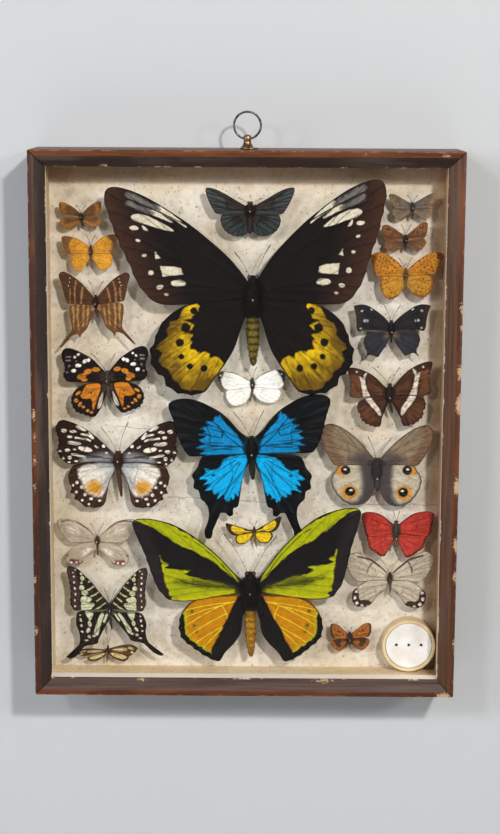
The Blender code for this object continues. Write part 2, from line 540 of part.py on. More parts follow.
def legs(specimen):
    """Two pairs of folded legs below the thorax."""
    start, end = specimen.body[1:3]
    thorax = specimen.body[4]
    level = BOARD_FRONT - specimen.height
    rods = []
    for share in (0.4, 0.75):
        y = specimen.at[1] + start + (end - start) * share
        for sign in (1, -1):
            x = specimen.at[0] + specimen.axis
            hip = (x + sign * thorax * 0.24, level + thorax * 0.2, y)
            foot = (x + sign * thorax * 0.42, level + thorax * 0.45 + 1.6, y - thorax * (share - 0.3))
            rods.append(rod(hip, foot, ((0.0, 0.3),)))
    return rods


def pin(specimen):
    """Pin from inside the board through the thorax to its round head."""
    tip = BOARD_FRONT + PIN_DEPTH
    neck = max(BOARD_FRONT - specimen.height - PIN_RISE, glass_back() + PIN_ROOM)
    profile = [(0, tip), (PIN_RADIUS, tip - 1.2), (PIN_RADIUS, neck), (PIN_HEAD, neck - 0.5),
               (0, neck - 1.0)]
    return turned("pin", profile, pin_place(specimen), 4, "Y")


def insect(specimen):
    """One specimen, grown as one piece, on its pin."""
    material = finish(specimen.name, specimen.colour, 0.7)
    item = mesh_object(specimen.name, *loft(body_rings(specimen)), material)
    pieces = wing_plates(specimen) + feelers(specimen) + legs(specimen) + [pin(specimen)]
    combine(item, pieces, "UNION")
    shape = bmesh.new()
    shape.from_mesh(item.data)
    bmesh.ops.dissolve_limit(shape, angle_limit=FLAT, verts=shape.verts, edges=shape.edges)
    shape.to_mesh(item.data)
    shape.free()
    item.data.materials.clear()
    item.data.materials.append(material)


def main():
    """Build the whole case."""
    clear_scene()
    case_sides(finish("varnished_wood", (0.10, 0.04, 0.025), 0.45))
    sheet("back_panel", -BACK_PANEL, 0.0, finish("hardboard", (0.28, 0.17, 0.09), 0.8))
    pinning_board(finish("board_paper", (0.72, 0.65, 0.53), 0.85))
    paper_lining(finish("lining_paper", (0.74, 0.66, 0.52), 0.85))
    pane = finish("clear_glass", (0.9, 0.95, 0.94), 0.05)
    sheet("glass_pane", glass_back() - GLASS_THICKNESS, glass_back(), pane)
    hanger(finish("aged_brass", (0.36, 0.24, 0.10), 0.4, 1.0),
           finish("ring_steel", (0.2, 0.2, 0.19), 0.4, 1.0))
    fumigant_cup(finish("cup_plastic", (0.72, 0.62, 0.44), 0.5),
                 finish("lid_plastic", (0.85, 0.85, 0.84), 0.4))
    for specimen in SPECIMENS:
        insect(specimen)


main()
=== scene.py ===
"""Looks of a wall-hung glazed case with pinned butterflies, a day moth and a fumigant cup.

The case hangs on a pale wall. +X is to the viewer's right, +Z is up and +Y runs into the wall. Sizes
are millimetres throughout; MM turns them into metres where a mesh, a lamp or a shader needs them.
"""

import logging
import math
from dataclasses import dataclass, field
from enum import Enum

import bmesh
import bpy
import numpy as np
from mathutils import Matrix, Vector, geometry

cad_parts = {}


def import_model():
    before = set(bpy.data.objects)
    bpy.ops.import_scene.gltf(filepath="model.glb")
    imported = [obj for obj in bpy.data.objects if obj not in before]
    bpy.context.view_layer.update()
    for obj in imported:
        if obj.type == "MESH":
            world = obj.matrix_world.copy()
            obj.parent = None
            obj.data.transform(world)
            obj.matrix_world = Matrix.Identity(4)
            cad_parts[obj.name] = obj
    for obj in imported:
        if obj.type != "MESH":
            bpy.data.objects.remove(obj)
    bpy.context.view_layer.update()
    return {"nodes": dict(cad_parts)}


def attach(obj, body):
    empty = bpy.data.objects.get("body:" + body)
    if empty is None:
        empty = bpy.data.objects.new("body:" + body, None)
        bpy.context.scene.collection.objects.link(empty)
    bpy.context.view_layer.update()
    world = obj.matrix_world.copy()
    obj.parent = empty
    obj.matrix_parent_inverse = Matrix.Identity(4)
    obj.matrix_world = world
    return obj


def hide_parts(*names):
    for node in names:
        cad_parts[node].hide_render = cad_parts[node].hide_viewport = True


LOG = logging.getLogger("insect_case")
MM = 0.001
BOX = "box"  # the body that everything but the ring rides on
RING = "ring"
BOARD_FRONT = -20.5  # y of the paper that the pins go into
DIHEDRAL = 0.05  # rise of a wing for each millimetre outwards
SCALLOPS = 8  # bays between the veins of a wing margin
FAR = 9.0  # mm, a mark farther off than this has no say in a wing's colour


# Colours and nodes --------------------------------------------------------------------------------


def linear(code: str) -> tuple[float, float, float, float]:
    """Turn an sRGB hex code into linear red, green and blue, with full alpha."""
    channels = [int(code[i:i + 2], 16) / 255 for i in (0, 2, 4)]
    return (*[c / 12.92 if c <= 0.04045 else ((c + 0.055) / 1.055) ** 2.4 for c in channels], 1.0)


def per(size: float) -> float:
    """Scale of a pattern, in cells to the metre, from the size of one cell in millimetres."""
    return 1 / (size * MM)


def fall(edge: float, soft: float) -> tuple[float, float, float, float]:
    """Limits of a ramp that falls from one to nothing about an edge."""
    return edge - soft, edge + soft, 1.0, 0.0


class Node(Enum):
    """Kinds of node: type, inputs in the order that they are given, output, and settings."""

    PLACE = ("TexCoord", (), "Object", {})
    VALUE = ("Attribute", (), "Fac", {})
    STRETCH = ("Mapping", ("Vector", "Scale"), 0, {})
    X = ("SeparateXYZ", (0,), 0, {})
    Y = ("SeparateXYZ", (0,), 1, {})
    Z = ("SeparateXYZ", (0,), 2, {})
    VECTOR = ("CombineXYZ", (0, 1, 2), 0, {})
    DISTANCE = ("VectorMath", (0, 1), "Value", {"operation": "DISTANCE"})
    CLOUD = ("TexNoise", ("Vector", "Scale", "Detail", "Roughness"), "Fac", {})
    CELLS = ("TexVoronoi", ("Vector", "Scale"), "Distance", {})
    RED = ("SeparateColor", (0,), 0, {})
    GREY = ("CombineColor", (0, 1, 2), 0, {})
    RAMP = ("MapRange", (0, 1, 2, 3, 4), 0, {"interpolation_type": "SMOOTHSTEP"})
    MIX = ("Mix", (0, 6, 7), 2, {"data_type": "RGBA"})
    TINT = ("Mix", (0, 6, 7), 2, {"data_type": "RGBA", "blend_type": "MULTIPLY"})
    ADD = ("Math", (0, 1), 0, {"operation": "ADD"})
    TAKE = ("Math", (0, 1), 0, {"operation": "SUBTRACT"})
    TIMES = ("Math", (0, 1), 0, {"operation": "MULTIPLY"})
    TIMES_ADD = ("Math", (0, 1, 2), 0, {"operation": "MULTIPLY_ADD"})
    LEAST = ("Math", (0, 1), 0, {"operation": "MINIMUM"})
    MOST = ("Math", (0, 1), 0, {"operation": "MAXIMUM"})
    SIZE = ("Math", (0,), 0, {"operation": "ABSOLUTE"})
    POWER = ("Math", (0, 1), 0, {"operation": "POWER"})
    SINE = ("Math", (0,), 0, {"operation": "SINE"})
    BELOW = ("Math", (0, 1), 0, {"operation": "LESS_THAN"})
    BUMP = ("Bump", ("Height", "Strength", "Distance"), 0, {})
    FACING = ("LayerWeight", (), "Facing", {})
    BEHIND = ("NewGeometry", (), "Backfacing", {})
    CLEAR = ("BsdfTransparent", (), 0, {})
    EITHER = ("MixShader", (0, 1, 2), 0, {})


class Surface:
    """A material with a Principled shader, and the nodes that feed it."""

    def __init__(self, name: str, **sockets: object) -> None:
        """Make the material, named for the real one.

        Args:
            name: Name of the material.
            **sockets: Values by socket.
        """
        self.material = bpy.data.materials.new(name)
        self.material.use_nodes = True
        self.tree = self.material.node_tree
        self.shader = self.tree.nodes["Principled BSDF"]
        self.dress(**sockets)

    def put(self, socket: bpy.types.NodeSocket, value: object) -> None:
        """Give a socket a link, a hex colour or a plain value.

        Args:
            socket: Socket to set.
            value: What it gets.
        """
        if isinstance(value, bpy.types.NodeSocket):
            self.tree.links.new(value, socket)
        else:
            socket.default_value = linear(value) if isinstance(value, str) else value

    def add(self, kind: Node, *inputs: object, **settings: object) -> bpy.types.NodeSocket:
        """Add a node with its settings, values and links.

        Args:
            kind: Kind of the node.
            *inputs: Output, hex colour or value for each of its inputs.
            **settings: Further properties of the node.

        Returns:
            The output that the kind names.
        """
        name, keys, output, fixed = kind.value
        node = self.tree.nodes.new("ShaderNode" + name)
        for key, value in {**fixed, **settings}.items():
            setattr(node, key, value)
        for key, value in zip(keys, inputs):
            self.put(node.inputs[key], value)
        return node.outputs[output]

    def dress(self, **sockets: object) -> bpy.types.Material:
        """Link or set the shader's sockets.

        Args:
            **sockets: Links or values by socket, with underscores for spaces.

        Returns:
            The material.
        """
        for key, value in sockets.items():
            self.put(self.shader.inputs[key.replace("_", " ")], value)
        return self.material


# Modelling helpers --------------------------------------------------------------------------------


def settle(item: bpy.types.Object, name: str, *materials: bpy.types.Material) -> bpy.types.Object:
    """Name a modelled object, put its place into its mesh and dress it.

    Args:
        item: Object that was just modelled.
        name: Its name as a piece.
        *materials: Materials of its slots.

    Returns:
        The same object.
    """
    item.name = item.data.name = name
    item.data.transform(item.matrix_world)
    item.matrix_world = Matrix.Identity(4)
    for material in materials:
        item.data.materials.append(material)
    return item


def deselect() -> None:
    """Leave nothing selected, so that an operator acts on what comes next alone."""
    if bpy.context.object and bpy.context.object.mode != "OBJECT":
        bpy.ops.object.mode_set(mode="OBJECT")
    bpy.ops.object.select_all(action="DESELECT")


def only(*items: bpy.types.Object) -> None:
    """Select these objects alone; the first is active.

    Args:
        *items: Objects to select.
    """
    deselect()
    for item in items:
        item.select_set(True)
    bpy.context.view_layer.objects.active = items[0]


def edit(action: str = "SELECT") -> None:
    """Open the active object for editing, with all of it selected or deselected."""
    bpy.ops.object.mode_set(mode="EDIT")
    bpy.ops.mesh.select_all(action=action)


def stand(name: str, data: bpy.types.ID) -> bpy.types.Object:
    """Put an object with the given mesh, lamp or camera into the scene.

    Args:
        name: Name of the object.
        data: Its mesh, lamp or camera.

    Returns:
        The object.
    """
    item = bpy.data.objects.new(name, data)
    bpy.context.scene.collection.objects.link(item)
    return item


def crisp(item: bpy.types.Object, name: str, angle: float) -> bpy.types.Object:
    """Name a piece and shade it smooth, but for edges sharper than an angle in radians.

    Args:
        item: The piece.
        name: Its name.
        angle: Sharpest edge that is still smooth.

    Returns:
        The same piece.
    """
    only(item)
    bpy.ops.object.shade_smooth_by_angle(angle=angle)
    item.name = item.data.name = name
    return item


def apply(item: bpy.types.Object, kind: str, **settings: object) -> None:
    """Add a modifier and apply it at once.

    Args:
        item: Object that it changes.
        kind: Blender's name of the modifier type.
        **settings: Properties of the modifier.
    """
    only(item)
    modifier = item.modifiers.new(kind.title(), kind)
    for key, value in settings.items():
        setattr(modifier, key, value)
    bpy.ops.object.modifier_apply(modifier=modifier.name)


def drilled(item: bpy.types.Object, radius: float, depth: float, middle: tuple, turn: float) -> None:
    """Drill a round hole into a piece.

    Args:
        item: The piece.
        radius: Radius of the hole.
        depth: Length of the drill.
        middle: Middle of the drill.
        turn: How far it is turned from upright about Y, in radians.
    """
    deselect()
    bpy.ops.mesh.primitive_cylinder_add(vertices=20, radius=radius * MM, depth=depth * MM,
                                        location=[place * MM for place in middle], rotation=(0, turn, 0))
    drill = bpy.context.object
    apply(item, "BOOLEAN", operation="DIFFERENCE", object=drill, solver="EXACT")
    bpy.data.objects.remove(drill)


def joined(name: str, items: list[bpy.types.Object]) -> bpy.types.Object:
    """Join objects into one with the given name.

    Args:
        name: Name of the result.
        items: Objects to join; the first keeps its place.

    Returns:
        The joined object.
    """
    only(*items)
    if len(items) > 1:
        bpy.ops.object.join()
    items[0].name = items[0].data.name = name
    return items[0]


@dataclass
class Station:
    """One section of a drawn form: its centre and its half widths across and in depth."""

    centre: Vector
    across: float
    deep: float


def turned(profile: tuple, foot: Vector = Vector((0, 0, 0)), squash: float = 1.0) -> list[Station]:
    """Sections of a turned form.

    Args:
        profile: Radius and height of each section.
        foot: Middle of its foot.
        squash: Share of the radius that it has in depth.

    Returns:
        The sections from the foot up.
    """
    return [Station(foot + Vector((0, 0, height)), radius, radius * squash) for radius, height in profile]


def drawn(name: str, stations: list[Station], sides: int, material: bpy.types.Material) -> bpy.types.Object:
    """Draw a form out along Z by extruding a disc from station to station.

    Args:
        name: Name of the piece.
        stations: Sections from one end to the other.
        sides: Corners of the disc.
        material: Its material.

    Returns:
        A closed, smooth object.
    """
    deselect()
    first = stations[0]
    bpy.ops.mesh.primitive_circle_add(vertices=sides, radius=MM, fill_type="NGON", location=first.centre * MM)
    item = bpy.context.object
    bpy.ops.object.transform_apply(location=True)
    edit()
    bpy.ops.transform.resize(value=(first.across, first.deep, 1), center_override=first.centre * MM)
    for before, now in zip(stations, stations[1:]):
        bpy.ops.mesh.extrude_region_move(
            TRANSFORM_OT_translate={"value": (now.centre - before.centre) * MM})
        bpy.ops.transform.resize(value=(now.across / before.across, now.deep / before.deep, 1),
                                 center_override=now.centre * MM)
    bpy.ops.mesh.select_all(action="SELECT")
    bpy.ops.mesh.normals_make_consistent(inside=False)
    bpy.ops.object.mode_set(mode="OBJECT")
    bpy.ops.object.shade_smooth()
    return settle(item, name, material)


def ball(name: str, centre: Vector, size: tuple[float, float, float], segments: int,
         material: bpy.types.Material) -> bpy.types.Object:
    """Add a smooth ellipsoid.

    Args:
        name: Name of the piece.
        centre: Its middle.
        size: Its three half axes.
        segments: Segments round it.
        material: Its material.

    Returns:
        The object.
    """
    deselect()
    bpy.ops.mesh.primitive_uv_sphere_add(segments=segments, ring_count=segments // 2 + 1, radius=MM,
                                         location=centre * MM, scale=size)
    bpy.ops.object.transform_apply(location=True, scale=True)
    bpy.ops.object.shade_smooth()
    return settle(bpy.context.object, name, material)


@dataclass
class Wire:
    """A tapering wire through five points."""

    points: list[Vector]
    radii: tuple[float, float, float, float, float]


def wires(name: str, lines: list[Wire], material: bpy.types.Material, sides: int = 1) -> bpy.types.Object:
    """Lay smooth tapering wires and make them one mesh.

    Args:
        name: Name of the piece.
        lines: The wires.
        material: Their material.
        sides: Bevel resolution of the section.

    Returns:
        One mesh object.
    """
    deselect()
    bpy.ops.curve.primitive_nurbs_path_add(location=(0, 0, 0))
    item = bpy.context.object
    curve = item.data
    for _ in lines[1:]:
        curve.splines.new("NURBS").points.add(4)
    for spline, line in zip(curve.splines, lines):
        for point, place, radius in zip(spline.points, line.points, line.radii):
            point.co = (*(place * MM), 1.0)
            point.radius = radius
        spline.use_endpoint_u = True
        spline.order_u = 4
        spline.resolution_u = 5
    curve.bevel_depth = MM
    curve.bevel_resolution = sides
    curve.use_fill_caps = True
    bpy.ops.object.convert(target="MESH")
    item = bpy.context.object
    bpy.ops.object.shade_smooth()
    return settle(item, name, material)


def mesh_piece(name: str, points: np.ndarray, faces: list,
               *materials: bpy.types.Material) -> bpy.types.Object:
    """Make an object from points and faces where no primitive has the form.

    Args:
        name: Name of the piece.
        points: Its points in millimetres.
        faces: Its faces.
        *materials: Its materials.

    Returns:
        The object, shaded smooth.
    """
    mesh = bpy.data.meshes.new(name)
    mesh.from_pydata((points * MM).tolist(), [], faces)
    for material in materials:
        mesh.materials.append(material)
    mesh.polygons.foreach_set("use_smooth", [True] * len(mesh.polygons))
    return stand(name, mesh)


# Wing marks ---------------------------------------------------------------------------------------
# A mark is a place on the right wing in millimetres from the specimen's centre. It gives each point
# of the wing its distance to the mark's edge, negative inside, and the shader paints up to zero.


def line_distance(points: np.ndarray, line: np.ndarray) -> tuple[np.ndarray, np.ndarray]:
    """Distance of points to an open line, and how far along it the nearest place is.

    Args:
        points: Points of the wing.
        line: Corners of the line.

    Returns:
        Distance of each point, and the share of the line's length from its start.
    """
    steps = np.diff(line, axis=0)
    lengths = np.maximum(np.hypot(*steps.T), 1e-9)
    starts = np.concatenate([[0], np.cumsum(lengths)])
    best = np.full(len(points), 1e9)
    share = np.zeros(len(points))
    for start, step, length, before in zip(line, steps, lengths, starts):
        at = np.clip((points - start) @ step / length ** 2, 0, 1)
        away = np.hypot(*(points - start - at[:, None] * step).T)
        nearer = away < best
        best = np.where(nearer, away, best)
        share = np.where(nearer, (before + at * length) / starts[-1], share)
    return best, share


def inside(points: np.ndarray, area: np.ndarray) -> np.ndarray:
    """Whether each point lies inside a closed outline.

    Args:
        points: Points of the wing.
        area: Corners of the outline.

    Returns:
        True where it does.
    """
    result = np.zeros(len(points), bool)
    for (ax, ay), (bx, by) in zip(area, np.roll(area, -1, 0)):
        if ay != by:
            crosses = (ay > points[:, 1]) != (by > points[:, 1])
            result ^= crosses & (points[:, 0] < (bx - ax) * (points[:, 1] - ay) / (by - ay) + ax)
    return result


def smooth(line: np.ndarray, steps: int, closed: bool = False) -> np.ndarray:
    """Round a line off through its own points.

    Args:
        line: Control points.
        steps: Parts of each stretch.
        closed: Whether the last point joins the first.

    Returns:
        Points of the smooth line.
    """
    if closed:
        padded = np.vstack([line[-1], line, line[:2]])
    else:
        padded = np.vstack([2 * line[0] - line[1], line, 2 * line[-1] - line[-2]])
    result = []
    for a, b, c, d in zip(padded, padded[1:], padded[2:], padded[3:]):
        for t in np.arange(steps) / steps:
            result.append(0.5 * (2 * b + (c - a) * t + (2 * a - 5 * b + 4 * c - d) * t ** 2
                                 + (3 * b - 3 * c + d - a) * t ** 3))
    if not closed:
        result.append(line[-1])
    return np.array(result)


EDGE_STEPS, MARK_STEPS = 8, 4  # parts of each stretch of a smooth edge and of a smooth mark
SPOT_CORNERS = 12  # points round a spot that the mesh gets
SPOT_HALO = 0.35  # mm, how far outside it a second ring of them lies
SPOT_MIDDLE = 0.05  # share of its size within which a point counts as its middle


@dataclass(frozen=True)
class Spot:
    """Round or oval spot; turn is in degrees."""

    x: float
    y: float
    wide: float
    high: float = 0.0
    turn: float = 0.0

    def frame(self) -> tuple[np.ndarray, np.ndarray, np.ndarray]:
        """Where the spot lies and how it is turned.

        Returns:
            Centre, half sizes and turning matrix.
        """
        angle = math.radians(self.turn)
        c, s = math.cos(angle), math.sin(angle)
        return (np.array([self.x, self.y]), np.array([self.wide, self.high or self.wide]) / 2,
                np.array([[c, s], [-s, c]]))

    def distance(self, points: np.ndarray, wing: "WingShape") -> np.ndarray:
        """Distance of each point to the spot's edge, negative inside.

        Args:
            points: Points of the wing.
            wing: Wing that carries the spot; not used here.

        Returns:
            Distance of each point.
        """
        centre, half, turn = self.frame()
        local = (points - centre) @ turn.T
        k0 = np.hypot(*(local / half).T)
        k1 = np.maximum(np.hypot(*(local / half ** 2).T), 1e-6)
        return np.where(k0 < SPOT_MIDDLE, -min(half), k0 * (k0 - 1) / k1)

    def guide(self, spacing: float) -> np.ndarray:
        """Points that the mesh needs to show the spot.

        Args:
            spacing: Distance of the wing's points; not used here.

        Returns:
            The points.
        """
        centre, half, turn = self.frame()
        angles = np.arange(SPOT_CORNERS) / SPOT_CORNERS * math.tau
        ring = np.stack([np.cos(angles), np.sin(angles)], 1)
        return np.vstack([centre, centre + ring * half @ turn, centre + ring * (half + SPOT_HALO) @ turn])


@dataclass(frozen=True)
class Area:
    """Patch inside a closed outline."""

    points: tuple
    round: bool = True

    def outline(self) -> np.ndarray:
        """Its edge, rounded off unless it is angular."""
        corners = np.array(self.points, float)
        return smooth(corners, MARK_STEPS, closed=True) if self.round else corners

    def distance(self, points: np.ndarray, wing: "WingShape") -> np.ndarray:
        """Distance of each point to the patch's edge, negative inside.

        Args:
            points: Points of the wing.
            wing: Wing that carries the patch; not used here.

        Returns:
            Distance of each point.
        """
        edge = self.outline()
        away, _ = line_distance(points, np.vstack([edge, edge[:1]]))
        return np.where(inside(points, edge), -away, away)

    def guide(self, spacing: float) -> np.ndarray:
        """Points that the mesh needs to show the patch."""
        return spread(np.vstack([self.outline(), self.outline()[:1]]), spacing)


@dataclass(frozen=True)
class Streak:
    """Stripe along a line, from one width to another."""

    start: float
    end: float
    points: tuple

    def distance(self, points: np.ndarray, wing: "WingShape") -> np.ndarray:
        """Distance of each point to the stripe's edge, negative inside."""
        away, share = line_distance(points, smooth(np.array(self.points, float), MARK_STEPS))
        return away - (self.start + (self.end - self.start) * share) / 2

    def guide(self, spacing: float) -> np.ndarray:
        """Points that the mesh needs to show the stripe."""
        return spread(smooth(np.array(self.points, float), MARK_STEPS), spacing)


@dataclass(frozen=True)
class Rim:
    """Band along the outer margin between two shares of its length."""

    width: float
    start: float = 0.0
    end: float = 1.0

    def distance(self, points: np.ndarray, wing: "WingShape") -> np.ndarray:
        """Distance of each point to the band's inner edge, negative inside.

        Args:
            points: Points of the wing.
            wing: Wing that carries the band.

        Returns:
            Distance of each point.
        """
        count = len(wing.margin) - 1
        part = wing.margin[int(self.start * count):int(self.end * count) + 1]
        return line_distance(points, part)[0] - self.width

    def guide(self, spacing: float) -> np.ndarray:
        """The band needs no points of its own."""
        return np.zeros((0, 2))


def spread(line: np.ndarray, spacing: float) -> np.ndarray:
    """Evenly spaced points on a line.

    Args:
        line: Corners of the line.
        spacing: Distance of the points.

    Returns:
        The points, both ends included.
    """
    steps = np.hypot(*np.diff(line, axis=0).T)
    along = np.concatenate([[0], np.cumsum(steps)])
    count = max(2, int(along[-1] / spacing) + 1)
    at = np.linspace(0, along[-1], count)
    return np.stack([np.interp(at, along, line[:, 0]), np.interp(at, along, line[:, 1])], 1)


class Kind(Enum):
    """Kinds of mark, as a wing's text names them."""

    SPOT = "spot"
    AREA = "area"
    FACET = "facet"
    STREAK = "streak"
    RIM = "rim"


def numbers(text: str) -> list[tuple[float, ...]]:
    """Read a text of places, such as "2,0.5 5,4.5", as tuples of numbers."""
    return [tuple(float(value) for value in word.split(",")) for word in text.split()]


def read_marks(rows: list[str]) -> dict[int, list]:
    """Read the marks of a wing.

    Args:
        rows: One text for each tone: its number, then its marks, parted by semicolons. A mark is its
            kind and its numbers: a spot's fields, an area's corners, or a streak's widths and points.

    Returns:
        The marks by the number of their tone.
    """
    marks = {}
    for row in rows:
        tone, rest = row.split(maxsplit=1)
        made = marks[int(tone)] = []
        for item in rest.split(";"):
            word, values = item.split(maxsplit=1)
            kind, values = Kind(word), numbers(values)
            if kind is Kind.SPOT:
                made += [Spot(*spot) for spot in values]
            elif kind is Kind.STREAK:
                made.append(Streak(*values[0], values[1:]))
            elif kind is Kind.RIM:
                made.append(Rim(*values[0]))
            else:
                made.append(Area(values, kind is Kind.AREA))
    return marks


# Wings --------------------------------------------------------------------------------------------


class Part(Enum):
    """Which wing of a pair."""

    FORE = "fore"
    HIND = "hind"


# Distances in a wing's mesh, as shares of the spacing of its inner points.
EDGE_SPACING = 0.7  # along the edge and the marks
ROW_SPACING = 0.866  # between rows, so that the triangles have equal sides
GRID_GAP, GUIDE_GAP = 0.45, 0.2  # how close to the edge a point of the grid or of a mark may lie
INSIDE_ONLY = 1  # the triangulation's kind of output: triangles inside the edge alone
TOUCHING = 1e-3  # mm, points that lie closer are one


@dataclass
class WingShape:
    """One right wing: edge, veins and mesh, in millimetres from the specimen's centre.

    The edge runs from the front of the root round the tip to the back of the root. Left gives two of
    its points, by index, where they lie on the left wing. Scallop is the depth of the margin's bays.
    """

    part: Part
    edge: list
    left: tuple
    scallop: float = 0.0
    marks: dict = field(default_factory=dict)
    margin: np.ndarray = None
    front: np.ndarray = None

    def rounded(self, spacing: float, root: float) -> np.ndarray:
        """Smooth edge with its two ends drawn in to the body.

        Args:
            spacing: Distance of its points.
            root: x where the wing leaves the body.

        Returns:
            Points of the edge.
        """
        points = np.array([(root, self.edge[0][1]), *self.edge[1:-1], (root, self.edge[-1][1])], float)
        line = spread(smooth(points, EDGE_STEPS), spacing)
        first = self.set_margin(line)
        share = np.linspace(0, 1, len(self.margin))
        along = np.gradient(self.margin, axis=0)
        inwards = np.stack([along[:, 1], -along[:, 0]], 1) / np.linalg.norm(along, axis=1)[:, None]
        # The bays are shallower towards both ends of the margin.
        depth = self.scallop * np.abs(np.sin(share * math.pi * SCALLOPS)) * np.sin(share * math.pi) ** 0.5
        line[first:first + len(self.margin)] += inwards * depth[:, None]
        self.set_margin(line)
        return line

    def corner(self, line: np.ndarray, direction: tuple[float, float]) -> int:
        """Index of the point that lies farthest in a direction."""
        return int(np.argmax(line @ np.array(direction, float)))

    def set_margin(self, line: np.ndarray) -> int:
        """Find the outer margin, from the tip to the rear corner, and return where it starts.

        Args:
            line: Points of the edge.

        Returns:
            Number of the margin's first point.
        """
        # The tip and the rear corner lie farthest out in these directions.
        if self.part is Part.FORE:
            first, last = self.corner(line, (1, 1)), self.corner(line, (1, -1))
        else:
            first, last = self.corner(line, (1, 0.8)), self.corner(line, (-0.8, -1))
        self.margin = line[first:last + 1]
        self.front = line[:first + 1]
        return first

    def on_margin(self, share: float) -> np.ndarray:
        """Point of the margin at a share of the way from the tip."""
        count = len(self.margin) - 1
        return self.margin[min(count - 1, max(0, int(share * count)))]

    def veins(self, root: np.ndarray) -> list[np.ndarray]:
        """Discal cell and the veins that run from it to the edge.

        Args:
            root: Where the wing joins the body.

        Returns:
            One line for each vein.
        """
        fore = self.part is Part.FORE
        # The cell reaches about half way out. Every place below is a share: of the way from the root,
        # of the front edge from the root, or of the margin from the tip.
        reach = 0.56 if fore else 0.42
        upper = root + (self.on_margin(0.05) - root) * reach
        lower = root + (self.on_margin(0.78 if fore else 0.72) - root) * (reach + 0.04)
        middle = (upper + lower) / 2 + (root - (upper + lower) / 2) * 0.08
        trunks = [(root, upper, 0.35), (root, lower, -0.2)]
        lines = [np.array([upper, middle, lower])]

        def bowed(start: np.ndarray, end: np.ndarray, bow: float) -> np.ndarray:
            """Line from start to end that bows to one side by a share of a tenth of its length.

            Args:
                start: Where it starts.
                end: Where it ends.
                bow: How far it bows, in tenths of its length.

            Returns:
                Nine points.
            """
            t = np.linspace(0, 1, 9)[:, None]
            step = end - start
            side = np.array([-step[1], step[0]]) * 0.1 * bow
            return start + step * t + side * 4 * t * (1 - t)

        lines += [bowed(*trunk) for trunk in trunks]
        if fore:
            count = len(self.front) - 1
            lines += [bowed(root, self.front[int(count * 0.62)], 0.5),
                      bowed(root + (upper - root) * 0.6, self.front[int(count * 0.8)], 0.3),
                      bowed(root + (upper - root) * 0.85, self.front[int(count * 0.93)], 0.2)]
            ends = ((upper, 0.02), (upper, 0.18), (middle, 0.34), (middle, 0.5), (lower, 0.64),
                    (root + (lower - root) * 0.75, 0.78), (root + (lower - root) * 0.45, 0.9), (root, 0.99))
        else:
            ends = ((root + (upper - root) * 0.35, 0.0), (upper, 0.14), (upper, 0.29), (middle, 0.43),
                    (lower, 0.57), (lower, 0.7), (root + (lower - root) * 0.6, 0.85), (root, 0.99))
        lines += [bowed(start, self.on_margin(share), 0.25) for start, share in ends]
        return lines

    def sheet(self, axis: float, root_x: float, spacing: float) -> "Sheet":
        """Triangulate the wing, with points where its edge, veins and marks need them.

        Args:
            axis: x of the body in the edge's coordinates.
            root_x: Where the wing leaves the body.
            spacing: Distance of the inner points.

        Returns:
            The flat sheet with its fields.
        """
        edge = self.rounded(spacing * EDGE_SPACING, root_x)
        root = np.array([axis, (self.edge[0][1] + self.edge[-1][1]) / 2])
        veins = self.veins(root)
        points, lines = list(edge), []
        for vein in veins:
            run = spread(vein, spacing)
            run = run[inside(run, edge)]
            lines += [(len(points) + i, len(points) + i + 1) for i in range(len(run) - 1)]
            points += list(run)
        low, high = edge.min(0), edge.max(0)
        rows = np.arange(low[1], high[1], spacing * ROW_SPACING)
        grid = np.array([(x + (i % 2) * spacing / 2, y) for i, y in enumerate(rows)
                         for x in np.arange(low[0], high[0], spacing)])
        marks = [m for group in self.marks.values() for m in group]
        guides = [m.guide(spacing * EDGE_SPACING) for m in marks]
        closed = np.vstack([edge, edge[:1]])
        for extra, gap in [(grid, GRID_GAP), *[(g, GUIDE_GAP) for g in guides]]:
            extra = extra[inside(extra, edge)] if len(extra) else extra
            if len(extra):
                clear = line_distance(extra, closed)[0] > spacing * gap
                points += list(extra[clear])
        loop = list(range(len(edge)))
        made = geometry.delaunay_2d_cdt([Vector(p) for p in points], lines, [loop], INSIDE_ONLY, TOUCHING)
        flat = np.array([tuple(v) for v in made[0]])
        return Sheet(self, flat, [tuple(f) for f in made[2]], closed, veins, root)


def wing(part: Part, left: tuple, scallop: float, text: str) -> WingShape:
    """Wing whose edge and marks are given as one text, parted by slashes.

    Args:
        part: Which wing of a pair it is.
        left: Number and place of two of the edge's points where they lie on the left wing.
        scallop: Depth of the bays in its margin.
        text: The points of its edge, then each tone's number and marks.

    Returns:
        The wing.
    """
    edge, *marks = text.split("/")
    return WingShape(part, numbers(edge), left, scallop, read_marks(marks))


